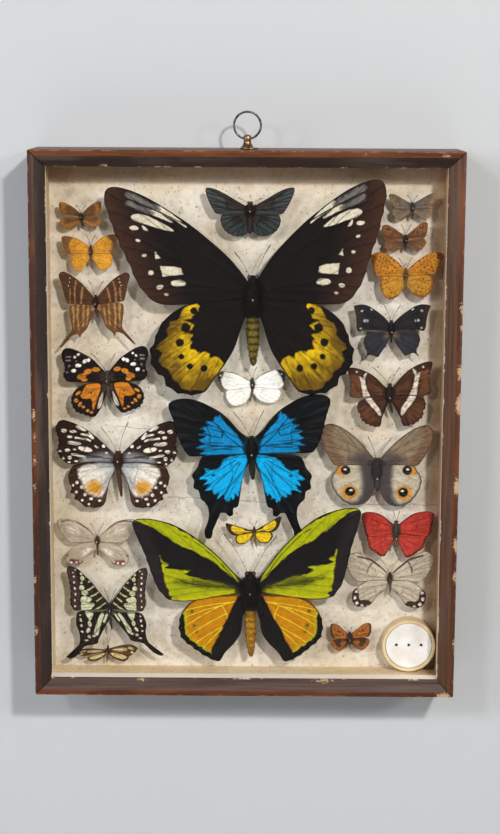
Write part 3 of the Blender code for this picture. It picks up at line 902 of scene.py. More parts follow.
@dataclass
class Sheet:
    """Triangulated wing with the distances that its colours follow."""

    shape: WingShape
    flat: np.ndarray
    faces: list
    closed: np.ndarray
    lines: list
    root: np.ndarray

    def fields(self, tones: int) -> dict[str, np.ndarray]:
        """Distances in millimetres to the edge, margin, veins and each tone's marks.

        Args:
            tones: Number of tones that a wing material may paint.

        Returns:
            Values by name, one for each point.
        """
        values = {
            "edge": line_distance(self.flat, self.closed)[0],
            "margin": line_distance(self.flat, self.shape.margin)[0],
            "vein": np.min([line_distance(self.flat, v)[0] for v in self.lines], axis=0),
        }
        out = self.flat - self.root
        values["reach"] = np.hypot(*out.T)
        values["turn"] = np.arctan2(out[:, 1], np.maximum(out[:, 0], 0.01))
        for tone in range(1, tones + 1):
            marks = self.shape.marks.get(tone, ())
            near = [m.distance(self.flat, self.shape) for m in marks]
            values[f"tone_{tone}"] = np.clip(np.min([np.full(len(self.flat), FAR), *near], axis=0), -FAR, FAR)
        return values

    def left_map(self, axis: float) -> np.ndarray:
        """Linear map from the right wing to the left, both from the body axis.

        Args:
            axis: x of the body.

        Returns:
            A matrix that points are multiplied with.
        """
        (i, ax, ay), (j, bx, by) = self.shape.left
        source = np.array([self.shape.edge[i], self.shape.edge[j]], float) - [axis, 0]
        target = np.array([(ax + axis, ay), (bx + axis, by)], float)
        return np.linalg.solve(source, target)


# Wing and body finishes ---------------------------------------------------------------------------


@dataclass(frozen=True)
class Tone:
    """Colour of a group of marks.

    Soft and ragged are millimetres of its edge. Within fade millimetres of the outer margin the second
    colour takes over; with no fade the two mingle in rays.
    """

    colour: str
    second: str = ""
    soft: float = 0.25
    ragged: float = 0.35
    fade: float = 0.0


@dataclass(frozen=True)
class WingFinish:
    """Scaled membrane of a wing.

    Its colours are hex codes, its sizes millimetres. Clear is the share of light that passes between
    the marks, as on a glasswing. Bare is the number of the first tone that hides the veins, and worn
    is how unevenly the scales have rubbed off.
    """

    ground: str
    shade: str
    tones: tuple = ()
    vein: str = "1c120c"
    vein_width: float = 0.35
    vein_show: float = 0.6
    rim: str = "120c0a"
    rim_width: float = 0.5
    outer: str = ""
    outer_width: float = 0.0
    outer_soft: float = 1.0
    root: str = ""
    root_width: float = 0.0
    gloss: float = 0.62
    shine: float = 0.12
    clear: float = 0.0
    bare: int = 0
    worn: float = 0.24

    def paint(self, name: str) -> bpy.types.Material:
        """Butterfly wing: overlapping rows of powdery scales on a veined membrane.

        It gives the eye colours that run in fine rays from the root, ragged edges to every mark,
        raised veins with painted shade in the folds beside them, a powdery grain and hardly any gloss.

        Args:
            name: Name of the material.

        Returns:
            The material; it reads the distances that each wing mesh carries.
        """
        scales = Surface(name, Roughness=self.gloss, Specular_IOR_Level=self.shine)
        add, place = scales.add, scales.add(Node.PLACE)
        reach, turn, margin, edge, vein, side = (
            add(Node.VALUE, attribute_name=title)
            for title in ("reach", "turn", "margin", "edge", "vein", "side"))
        # Rays of scales: 42 to a radian and about 5 mm long, coarser than rows of scales, which are
        # a tenth of a millimetre apart and would not show.
        rays = add(Node.VECTOR, add(Node.TIMES, turn, 26.0), add(Node.TIMES, reach, 0.12), side)
        streaks = add(Node.CLOUD, rays, 1.6, 5.0, 0.62)
        wander = add(Node.CLOUD, place, per(9.1), 4.0)  # a mark's edge strays over some 9 mm
        ragged = add(Node.ADD, add(Node.TIMES, streaks, 1.5), add(Node.TAKE, wander, 1.25))
        mixed = add(Node.TIMES_ADD, streaks, 2.4, -0.7)
        colour = add(Node.MIX, mixed, self.ground, self.shade)
        if self.root:
            near_root = add(Node.RAMP, add(Node.TIMES_ADD, ragged, 4.0, reach),
                            *fall(self.root_width * 0.7, self.root_width * 0.45))
            colour = add(Node.MIX, near_root, colour, self.root)
        if self.outer:
            outside = add(Node.RAMP, add(Node.TIMES_ADD, ragged, 1.5, margin),
                          *fall(self.outer_width, self.outer_soft))
            colour = add(Node.MIX, outside, colour, self.outer)
        opaque = hidden = 0.0
        for number, tone in enumerate(self.tones, 1):
            mark = add(Node.VALUE, attribute_name=f"tone_{number}")
            share = add(Node.RAMP, add(Node.TIMES_ADD, ragged, tone.ragged * 2, mark), *fall(0.0, tone.soft))
            blend = mixed
            if tone.fade:
                blend = add(Node.RAMP, add(Node.TIMES_ADD, ragged, tone.fade * 0.6, margin),
                            *fall(tone.fade * 0.6, tone.fade * 0.5))
            own = add(Node.MIX, blend, tone.colour, tone.second or tone.colour)
            colour = add(Node.MIX, share, colour, own)
            opaque = add(Node.MOST, opaque, share)
            if self.bare and number >= self.bare:
                hidden = add(Node.MOST, hidden, share)
        near = add(Node.RAMP, vein, *fall(self.vein_width * 0.5, 0.16))
        shown = add(Node.TIMES, near, self.vein_show)
        if self.bare:
            shown = add(Node.TIMES, shown, add(Node.TAKE, 1.0, hidden))
        colour = add(Node.MIX, shown, colour, self.vein)
        rim = add(Node.RAMP, add(Node.TIMES_ADD, ragged, 0.9, edge), *fall(self.rim_width, 0.4))
        colour = add(Node.MIX, add(Node.TIMES, rim, 0.8), colour, self.rim)
        # Single scales are 0.1 mm; they are drawn at 0.19 mm, so that they show close up.
        powder = add(Node.CELLS, place, per(0.19))
        worn = add(Node.TIMES_ADD, powder, 0.5, add(Node.CLOUD, place, per(1.1), 3.0))
        # Painted shade: the colour darkens by up to 0.18 within 1.4 mm of each vein, in the folds beside it;
        # the streaks add their own tone.
        crease_shade_and_streaks = add(Node.TIMES_ADD, add(Node.RAMP, vein, 0.0, 1.4), 0.18, add(Node.TIMES, ragged, 0.4))
        mottle = add(Node.CLOUD, place, per(2.4), 6.0, 0.72)  # bald and thick places, 2.4 mm across
        thick = add(Node.TIMES, add(Node.RAMP, mottle, 0.32, 0.68, 1 - self.worn, 1 + self.worn * 0.67),
                    add(Node.RAMP, worn, 0.25, 1.05, 0.6, 1.2))
        # The grain holds the scales' own mottle and the painted shade beside the veins.
        grain = add(Node.ADD, thick, crease_shade_and_streaks)
        colour = add(Node.TINT, 1.0, colour, add(Node.GREY, grain, grain, grain))
        ridge = add(Node.TIMES_ADD, add(Node.RAMP, vein, *fall(0.12, 0.2)), 0.5,
                    add(Node.TIMES, streaks, 0.6))
        relief = add(Node.BUMP, add(Node.TIMES_ADD, powder, 0.12, ridge), 0.45, 0.3 * MM)
        if self.clear:
            seen = add(Node.MOST, opaque, add(Node.MOST, near, rim))
            scales.dress(Alpha=add(Node.RAMP, seen, 0.0, 1.0, 1.0 - self.clear, 1.0))
        return scales.dress(Base_Color=colour, Normal=relief)


@dataclass(frozen=True)
class FurFinish:
    """Hair and skin of a body: colours of the hair, the abdomen, its bands and the collar.

    Belt is the distance of the bands in millimetres, and belt_show is how strongly they show.
    """

    hair: str
    abdomen: str
    band: str
    belt: float = 1.5
    belt_show: float = 0.6
    collar: str = ""

    def skin(self, name: str, low: float, high: float) -> bpy.types.Material:
        """Insect skin: dried horn with short pile; it looks dull, with soft dark belts on the abdomen.

        Args:
            name: Name of the material.
            low: z of the tail in metres.
            high: z of the abdomen's start in metres.

        Returns:
            The material.
        """
        skin = Surface(name, Roughness=0.6, Specular_IOR_Level=0.3)
        add, place = skin.add, skin.add(Node.PLACE)
        tuft = add(Node.CLOUD, place, per(1.4), 4.0)  # tufts of pile, 1.4 mm across
        height = add(Node.TIMES_ADD, tuft, 0.4 * MM, add(Node.Z, place))
        wave = add(Node.SINE, add(Node.TIMES, height, math.tau / (self.belt * MM)))
        colour = add(Node.MIX, add(Node.RAMP, wave, 0.1, 0.7, 0.0, self.belt_show), self.abdomen, self.band)
        colour = add(Node.MIX, add(Node.RAMP, height, high - 1.2 * MM, high + 0.8 * MM), colour, self.hair)
        end = add(Node.RAMP, height, low, low + (high - low) * 0.25, 0.75, 0.0)
        colour = add(Node.MIX, end, colour, self.band)
        tone = add(Node.RAMP, tuft, 0.3, 0.7, 0.65, 1.3)
        return skin.dress(Base_Color=add(Node.TINT, 1.0, colour, add(Node.GREY, tone, tone, tone)),
                          Normal=add(Node.BUMP, tuft, 0.5, 0.4 * MM))

    def pile(self, name: str) -> bpy.types.Material:
        """Insect fur: soft dry hairs; it looks matt, and its colour changes from tuft to tuft.

        Args:
            name: Name of the material.

        Returns:
            The material.
        """
        fur = Surface(name, Roughness=0.6, Specular_IOR_Level=0.3)
        add = fur.add
        tuft = add(Node.CLOUD, add(Node.PLACE), per(0.71), 3.0)  # tufts of hairs, 0.7 mm across
        shares = [tuple(min(1.0, part * much + more) for part in linear(self.hair)[:3])
                  for much, more in ((0.45, 0.0), (1.5, 0.01))]
        colour = add(Node.MIX, add(Node.RAMP, tuft, 0.35, 0.65), *[(*share, 1.0) for share in shares])
        if self.collar:
            colour = add(Node.MIX, add(Node.VALUE, attribute_name="collar"), colour, self.collar)
        return fur.dress(Base_Color=colour)


# Specimens ----------------------------------------------------------------------------------------

SEGMENTS = 7  # rings of an abdomen
RINGS_FROM, RINGS_LONG = 0.04, 0.94  # shares of its length, where they begin and how much they take up
TAIL_SINK = 0.12  # how much nearer to the board its tail lies, as a share of its width
BODY_DEPTH = 0.9  # depth of a body as a share of its width
# Sections of a body: how far along the stretch they lie, and their half width as a share of its width.
SEGMENT_FORM = ((-0.40, 0.94), (0.0, 1.02), (0.34, 1.0), (0.44, 0.92))
THORAX_FORM = ((0.08, 0.34), (0.3, 0.47), (0.6, 0.5), (0.85, 0.4))
HEAD_FORM = ((0.0, 0.25), (0.2, 0.24), (0.5, 0.28), (0.8, 0.2), (1.0, 0.04))
EYE_LEAST = 0.35  # mm, radius of the smallest eye
FEELER_RADII = (0.15, 0.12, 0.12)  # mm, up to the club
CLUB_LEAST, CLUB_MOST = 0.26, 0.5  # mm, radius of a feeler's club
LEG_RADII = (0.26, 0.22, 0.2, 0.14, 0.1)  # mm, from hip to foot
LEG_PLACES = (0.4, 0.75)  # shares of the thorax, from its front, where legs begin
FORE_DEPTH, HIND_DEPTH = -0.3, 0.05  # mm, the fore wings lie in front of the hind ones
WING_ROOT = 0.2  # share of the thorax's width at which a wing leaves the body
FINEST, COARSEST, ALONG_WING = 0.5, 1.15, 70  # mm between a wing's inner points, and how many along it
VEIN_RISE = 0.13  # mm, how far a vein stands out of a wing with folds 1 mm wide
FOLD_LEAST, FOLDS = 0.5, 65  # mm, the narrowest fold beside a vein, and how many go into a wing
WAVE_MOST, WAVE_SHARE = 0.3, 0.008  # mm, the deepest wave of a wing, and its share of the wing's reach
STIFF_ROOT = 0.35  # share of the reach within which the waves grow from nothing
PIN_FRONT = -42.3  # y that no pin's head goes in front of, to stay behind the pane
PIN_RISE, PIN_DEPTH = 7.4, 6.0  # mm, how far a pin stands out of the thorax and goes into the board
PIN_RADIUS, PIN_POINT = 0.25, 0.8  # mm, of its wire and the length of its point
MOST_HAIRS, FEWEST_HAIRS, HAIRS_FOR_WIDTH = 7000, 160, 420  # the last for each mm of thorax
ON_THORAX = 0.8  # share of the hairs that stand on thorax and head
ON_WINGS = 0.25  # as many again, as a share, stand on the wing roots
ABDOMEN_TRIM = 0.45  # length of the hairs on abdomen and head, as a share of the others'
HAIR_ROOTS = 0.97  # share of a body's radius at which they begin
HAIR_CORNERS = 7  # points of one hair


@dataclass(frozen=True)
class Body:
    """Heights of head, thorax and tail, and widths of thorax and abdomen; lean is the tail's side step."""

    head: float
    start: float
    end: float
    tail: float
    thorax: float
    abdomen: float
    lean: float


@dataclass
class Insect:
    """One spread and pinned insect; its sizes are millimetres from its own centre.

    At is the x and z of that centre in the case, and height is how far the wings lie off the paper
    where they leave the body. Axis is the body's x, pin is the pin's z, and feelers gives the tips of
    the right and the left one.
    """

    name: str
    at: tuple[float, float]
    height: float
    axis: float
    body: Body
    pin: float
    feelers: tuple
    fore: WingShape
    hind: WingShape
    fore_finish: WingFinish
    hind_finish: WingFinish
    fur: FurFinish
    thickness: float = 0.14
    fur_length: float = 1.0

    def seed(self) -> int:
        """Number that is the insect's own."""
        return sum((i + 1) * ord(c) for i, c in enumerate(self.name))

    def level(self) -> float:
        """y of its wings at the body."""
        return BOARD_FRONT - self.height

    def bend(self, across: np.ndarray, up: np.ndarray) -> np.ndarray:
        """How far a wing point lies in front of the plate, from its slow waves.

        Args:
            across: x from the body.
            up: z from the centre.

        Returns:
            Depth of the waves in millimetres.
        """
        # Under one wave to a wing's reach, with a finer one of half its depth on it.
        phase = self.seed() % 97 / 97 * math.tau
        size = self.fore.edge[len(self.fore.edge) // 2][0]
        waves = (np.sin(across / size * 5.2 + phase) * np.cos(up / size * 3.7 + phase * 1.7)
                 + 0.5 * np.sin(across / size * 11 - up / size * 7 + phase * 2.3))
        deepest = min(WAVE_MOST, size * WAVE_SHARE)
        return waves * deepest * np.clip(np.abs(across) / (size * STIFF_ROOT), 0, 1)

    def make_wings(self) -> bpy.types.Object:
        """Four veined sheets with their edges, veins and marks as distances on the mesh.

        Returns:
            The piece.
        """
        points, faces, slots, values = [], [], [], {}
        root = self.body.thorax * WING_ROOT
        count = 0
        for slot, shape, front, finish in ((0, self.fore, FORE_DEPTH, self.fore_finish),
                                           (1, self.hind, HIND_DEPTH, self.hind_finish)):
            size = max(x for x, _ in shape.edge)
            spacing = min(COARSEST, max(FINEST, size / ALONG_WING))
            sheet = shape.sheet(self.axis, self.axis + root, spacing)
            fields = sheet.fields(len(finish.tones))
            for sign in (1, -1):
                flat = sheet.flat - [self.axis, 0]
                if sign < 0:
                    flat = flat @ sheet.left_map(self.axis)
                across = flat[:, 0] * sign
                fold = max(FOLD_LEAST, size / FOLDS)
                ridge = VEIN_RISE * fold * np.exp(-(fields["vein"] / fold) ** 2)
                depth = (self.level() + front - DIHEDRAL * flat[:, 0] + self.bend(across, flat[:, 1])
                         - ridge)
                points.append(np.stack([across + self.at[0] + self.axis, depth, flat[:, 1] + self.at[1]], 1))
                faces += [tuple(i + count for i in (f if sign > 0 else f[::-1])) for f in sheet.faces]
                slots += [slot] * len(sheet.faces)
                # Side tells the four wings apart, so that each has rays of its own.
                for key, field_values in {**fields, "side": np.full(len(flat), sign * 3.0 + slot)}.items():
                    values.setdefault(key, []).append((count, field_values))
                count += len(flat)
        item = mesh_piece(f"{self.name}_wings", np.vstack(points), faces,
                          self.fore_finish.paint(f"{self.name} fore wing scales"),
                          self.hind_finish.paint(f"{self.name} hind wing scales"))
        item.data.polygons.foreach_set("material_index", slots)
        for key, parts in values.items():
            whole = np.full(count, FAR, np.float32)
            for start, part in parts:
                whole[start:start + len(part)] = part
            item.data.attributes.new(key, "FLOAT", "POINT").data.foreach_set("value", whole)
        apply(item, "SOLIDIFY", thickness=self.thickness * MM, offset=-1.0)
        return item

    def body_stations(self) -> list[Station]:
        """Sections from the tail to the head, with a waist between the abdomen's segments.

        Returns:
            The sections.
        """
        b, level = self.body, self.level()
        x0 = self.at[0] + self.axis
        long = b.end - b.tail
        rings = []

        def ring(y: float, radius: float) -> None:
            """Add a section at a height.

            Args:
                y: Height from the insect's centre.
                radius: Its radius.
            """
            along = max(0.0, (b.end - y) / long)
            radius = max(radius, 0.02)
            centre = Vector((x0 + b.lean * along, level + TAIL_SINK * b.abdomen * along, self.at[1] + y))
            rings.append(Station(centre, radius, radius * BODY_DEPTH))

        ring(b.tail, b.abdomen * 0.05)
        ring(b.tail + long * 0.02, b.abdomen * 0.14)
        for i in range(SEGMENTS):
            share = (i + 0.5) / SEGMENTS * RINGS_LONG + RINGS_FROM
            # It tapers to the tail from its middle on, and a little towards the thorax.
            width = b.abdomen * (0.5 - 0.32 * max(0.0, 1 - share / 0.55) ** 1.5 - 0.07 * max(0, share - 0.6))
            for offset, swell in SEGMENT_FORM:
                ring(b.tail + long * (share + offset * RINGS_LONG / SEGMENTS), width * swell)
        for share, width in THORAX_FORM:
            ring(b.end + (b.start - b.end) * share, b.thorax * width)
        for share, width in HEAD_FORM:
            ring(b.start + (b.head - b.start) * share, b.thorax * width)
        return rings

    def make_body(self) -> bpy.types.Object:
        """Segmented body with eyes, feelers and folded legs.

        Returns:
            The piece.
        """
        b, level = self.body, self.level()
        x0, z0 = self.at[0] + self.axis, self.at[1]
        w = b.thorax  # eyes, feelers and legs are placed by shares of it
        skin = self.fur.skin(f"{self.name} body skin", (z0 + b.tail) * MM, (z0 + b.end) * MM)
        trunk = drawn("trunk", self.body_stations(), 16, skin)
        apply(trunk, "SUBSURF", levels=1, render_levels=1)
        horn = dark_horn(f"{self.name} eyes and feelers")
        parts = [trunk]
        eye = max(EYE_LEAST, w * 0.15)
        for sign in (1, -1):
            parts.append(ball("eye", Vector((x0 + sign * w * 0.22, level - w * 0.08,
                                             z0 + b.start + (b.head - b.start) * 0.55)),
                              (eye * 0.8, eye, eye * 1.05), 14, horn))
        lines = []
        for sign, tip in zip((1, -1), self.feelers):
            root = Vector((x0 + sign * w * 0.1, level - 0.1, z0 + b.head - w * 0.25))
            end = Vector((self.at[0] + tip[0], level - 1.2, z0 + tip[1]))
            bow = (end - root).length * 0.05
            side = Vector((-sign * bow, 0, 0))
            points = [root, root.lerp(end, 0.33) + side, root.lerp(end, 0.75) + side,
                      root.lerp(end, 0.93), end]
            club = min(CLUB_MOST, CLUB_LEAST + w * 0.02)
            lines.append(Wire(points, (*FEELER_RADII, club, club * 0.5)))
        for share in LEG_PLACES:
            y = z0 + b.start + (b.end - b.start) * share
            for sign in (1, -1):
                hip = Vector((x0 + sign * w * 0.24, level + w * 0.2, y))
                foot = Vector((x0 + sign * w * 0.42, level + w * 0.45 + 1.6,
                               y - w * (share - 0.3)))
                knee = hip.lerp(foot, 0.45) + Vector((sign * w * 0.16, 0, -0.3))
                lines.append(Wire([hip, hip.lerp(knee, 0.6), knee, knee.lerp(foot, 0.6), foot], LEG_RADII))
        parts.append(wires("limbs", lines, horn))
        return joined(f"{self.name}_body", parts)

    def make_fur(self) -> bpy.types.Object:
        """Short hairs over thorax and head, thinner down the abdomen and on the wing roots.

        Returns:
            The piece.
        """
        b, level = self.body, self.level()
        w = b.thorax  # lengths and places follow it
        rng = np.random.default_rng(self.seed())
        stations = self.body_stations()
        centres, depths, heights = np.array([s.centre for s in stations], float).T
        widths = np.array([s.across for s in stations])
        count = int(min(MOST_HAIRS, HAIRS_FOR_WIDTH * w ** 1.1 + FEWEST_HAIRS))
        top, low, tail = (self.at[1] + height for height in (b.head, b.end, b.tail))
        # The hairs that don't stand on thorax and head thin out down the abdomen.
        share = rng.random(count)
        up = np.where(share < ON_THORAX, low + (top - low) * rng.random(count) ** 0.9,
                      low - (low - tail) * rng.random(count) ** 1.6 * 0.9)
        angle = rng.random(count) * math.tau
        radius = np.interp(up, heights, widths) * HAIR_ROOTS
        out = np.stack([np.cos(angle), -np.sin(angle), np.zeros(count)], 1)
        base = np.stack([np.interp(up, heights, centres) + np.cos(angle) * radius,
                         np.interp(up, heights, depths) - np.sin(angle) * radius * BODY_DEPTH, up], 1)
        trim = np.where((up < low) | (up > self.at[1] + b.start), ABDOMEN_TRIM, 1.0)
        length = self.fur_length * (0.2 + w * 0.17) * (0.5 + rng.random(count)) * trim
        lean = np.stack([rng.normal(0, 0.25, count), rng.normal(0, 0.25, count),
                         np.where(up > low, -0.5, -1.1) + rng.normal(0, 0.25, count)], 1)
        way = out * np.where(up < low, 0.45, 0.75)[:, None] + lean
        # Those of the wing roots point outwards.
        wings = int(count * ON_WINGS)
        side = np.where(rng.random(wings) < 0.5, 1, -1)
        away = rng.random(wings) ** 1.4
        first = self.hind.edge[0][1]
        wing_up = first + (0.15 + 0.85 * rng.random(wings)) * (self.fore.edge[0][1] - first)
        across = w * (0.3 + away * 0.6)
        place = np.stack([self.at[0] + self.axis + side * across,
                          level - 0.3 - DIHEDRAL * across + self.bend(side * across, wing_up),
                          self.at[1] + wing_up], 1)
        direction = np.stack([side * (0.7 + 0.2 * rng.random(wings)), -0.2 + 0.08 * rng.random(wings),
                              (wing_up - first) / w * 0.9 - 0.2 + rng.normal(0, 0.25, wings)], 1)
        base, way = np.vstack([base, place]), np.vstack([way, direction])
        length = np.concatenate([length, self.fur_length * (0.2 + w * 0.24)
                                 * (0.4 + rng.random(wings)) * (1.15 - away * 0.7)])
        way /= np.linalg.norm(way, axis=1)[:, None]
        # The collar starts just below the head.
        collar = np.clip((base[:, 2] - self.at[1] - b.start + 0.1 * w) / (0.15 * w), 0, 1)
        thick = 0.035 + 0.004 * w  # mm, radius of a hair at its root
        item = hairs(f"{self.name}_fur", base, way, length, thick, self.fur.pile(f"{self.name} fur"), rng)
        item.data.attributes.new("collar", "FLOAT", "POINT").data.foreach_set(
            "value", np.repeat(collar, HAIR_CORNERS).astype(np.float32))
        return item

    def make_pin(self) -> bpy.types.Object:
        """Steel pin through the thorax into the board, with a small turned head.

        Returns:
            The piece.
        """
        level = self.level()
        x, z = self.at[0] + self.axis, self.at[1] + self.pin
        front = max(level - PIN_RISE, PIN_FRONT)
        back = BOARD_FRONT + PIN_DEPTH
        length, middle = back - front - PIN_POINT, (front + back - PIN_POINT) / 2
        deselect()
        bpy.ops.mesh.primitive_cylinder_add(vertices=12, radius=PIN_RADIUS * MM, depth=length * MM,
                                            location=(x * MM, middle * MM, z * MM),
                                            rotation=(math.pi / 2, 0, 0))
        shaft = bpy.context.object
        bpy.ops.object.transform_apply(location=True, rotation=True)
        edit("DESELECT")
        mesh = bmesh.from_edit_mesh(shaft.data)
        for face in mesh.faces:
            face.select = face.normal.y > 0.9
        bmesh.update_edit_mesh(shaft.data)
        bpy.ops.mesh.extrude_region_move(TRANSFORM_OT_translate={"value": (0, PIN_POINT * MM, 0)})
        bpy.ops.transform.resize(value=(0.1, 1, 0.1), center_override=(x * MM, back * MM, z * MM))
        steel = pin_steel()
        shaft = settle(crisp(shaft, "shaft", 0.8), "shaft", steel)
        size = min(0.7, 0.34 + self.body.thorax * 0.05)  # mm, radius of the head
        head = ball("head", Vector((x, front, z)), (size, size * 0.8, size), 16, steel)
        return joined(f"{self.name}_pin", [head, shaft])

    def build(self) -> None:
        """Make every piece of the insect and put it on the case."""
        pieces = [self.make_body(), self.make_wings(), self.make_fur(), self.make_pin()]
        for piece in pieces:
            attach(piece, BOX)
        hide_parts(self.name)
        LOG.info("%s: %d faces of wing, %d of fur", self.name, len(pieces[1].data.polygons),
                 len(pieces[2].data.polygons))


def hairs(name: str, base: np.ndarray, way: np.ndarray, length: np.ndarray, thick: float,
          material: bpy.types.Material, rng: np.random.Generator) -> bpy.types.Object:
    """Make many thin bent hairs, each a closed three-sided spike.

    Args:
        name: Name of the piece.
        base: Roots.
        way: Directions of unit length.
        length: Lengths.
        thick: Radius at the root.
        material: Their material.
        rng: Source of chance.

    Returns:
        One mesh object.
    """
    count = len(base)
    spare = np.array([0.31, 0.67, 0.52])  # a direction that no hair takes
    over = np.cross(way, spare)
    over /= np.linalg.norm(over, axis=1)[:, None]
    aside = np.cross(way, over)
    # Each hair bends its own way, and all a little towards the board and down.
    bend = (over * rng.normal(0, 0.18, (count, 1)) + aside * rng.normal(0, 0.18, (count, 1))
            + np.array([0, 0.12, -0.15])) * length[:, None]
    rings = []  # a hair has a ring at its root, one past its middle, and a point
    for share, radius in ((0.0, thick), (0.55, thick * 0.7)):
        middle = base + way * (length * share)[:, None] + bend * share ** 2
        for i in range(3):
            angle = math.tau * i / 3
            rings.append(middle + (over * math.cos(angle) + aside * math.sin(angle)) * radius)
    rings.append(base + way * length[:, None] + bend)
    points = np.stack(rings, 1).reshape(-1, 3)
    one = [(2, 1, 0), (0, 1, 4, 3), (1, 2, 5, 4), (2, 0, 3, 5), (3, 4, 6), (4, 5, 6), (5, 3, 6)]
    faces = [tuple(i + k * HAIR_CORNERS for i in f) for k in range(count) for f in one]
    return mesh_piece(name, points, faces, material)


def dark_horn(name: str) -> bpy.types.Material:
    """Insect horn of eyes, feelers and legs: smooth hard shell; near black and glossy, with a brown glow.

    Args:
        name: Name of the material.

    Returns:
        The material.
    """
    horn = Surface(name, Roughness=0.28, Coat_Weight=0.3)
    mottle = horn.add(Node.CLOUD, horn.add(Node.PLACE), per(0.67), 3.0)  # brown places, 0.7 mm across
    return horn.dress(Base_Color=horn.add(Node.MIX, mottle, "120b08", "3a2416"),
                      Normal=horn.add(Node.BUMP, mottle, 0.2, 0.2 * MM))


def pin_steel() -> bpy.types.Material:
    """Pin steel: drawn and polished wire; bright, with dull places where it has tarnished.

    Returns:
        The material, which all pins share.
    """
    name = "entomological pin steel"
    if name in bpy.data.materials:
        return bpy.data.materials[name]
    steel = Surface(name, Metallic=1.0)
    tarnish = steel.add(Node.CLOUD, steel.add(Node.PLACE), per(1.1), 4.0)  # tarnish in 1 mm clouds
    return steel.dress(Base_Color=steel.add(Node.MIX, tarnish, "8d8880", "dedbd4"),
                       Roughness=steel.add(Node.RAMP, tarnish, 0.0, 1.0, 0.2, 0.4))


# Case ---------------------------------------------------------------------------------------------


HALF_WIDE, HALF_HIGH = 150, 194  # mm, from the case's middle to its outer faces
BRAD_FOOT = -1.0  # y where the modelled part of a brad begins, inside the back panel
CHIP_EDGE, CHIP_SOFT = 4.0, 0.4  # mm, which the torn edge adds to a chip's radius, and how soft it is
CRACK_EDGE = 0.1 * MM, 0.4 * MM  # from a crack's middle line, between which it fades out
CRACK_FADE = 3  # mm over which its two ends die away


@dataclass(frozen=True)
class Chip:
    """Place where the varnish has come off: x, z, radius and y in millimetres."""

    x: float
    z: float
    radius: float
    y: float = -56.5


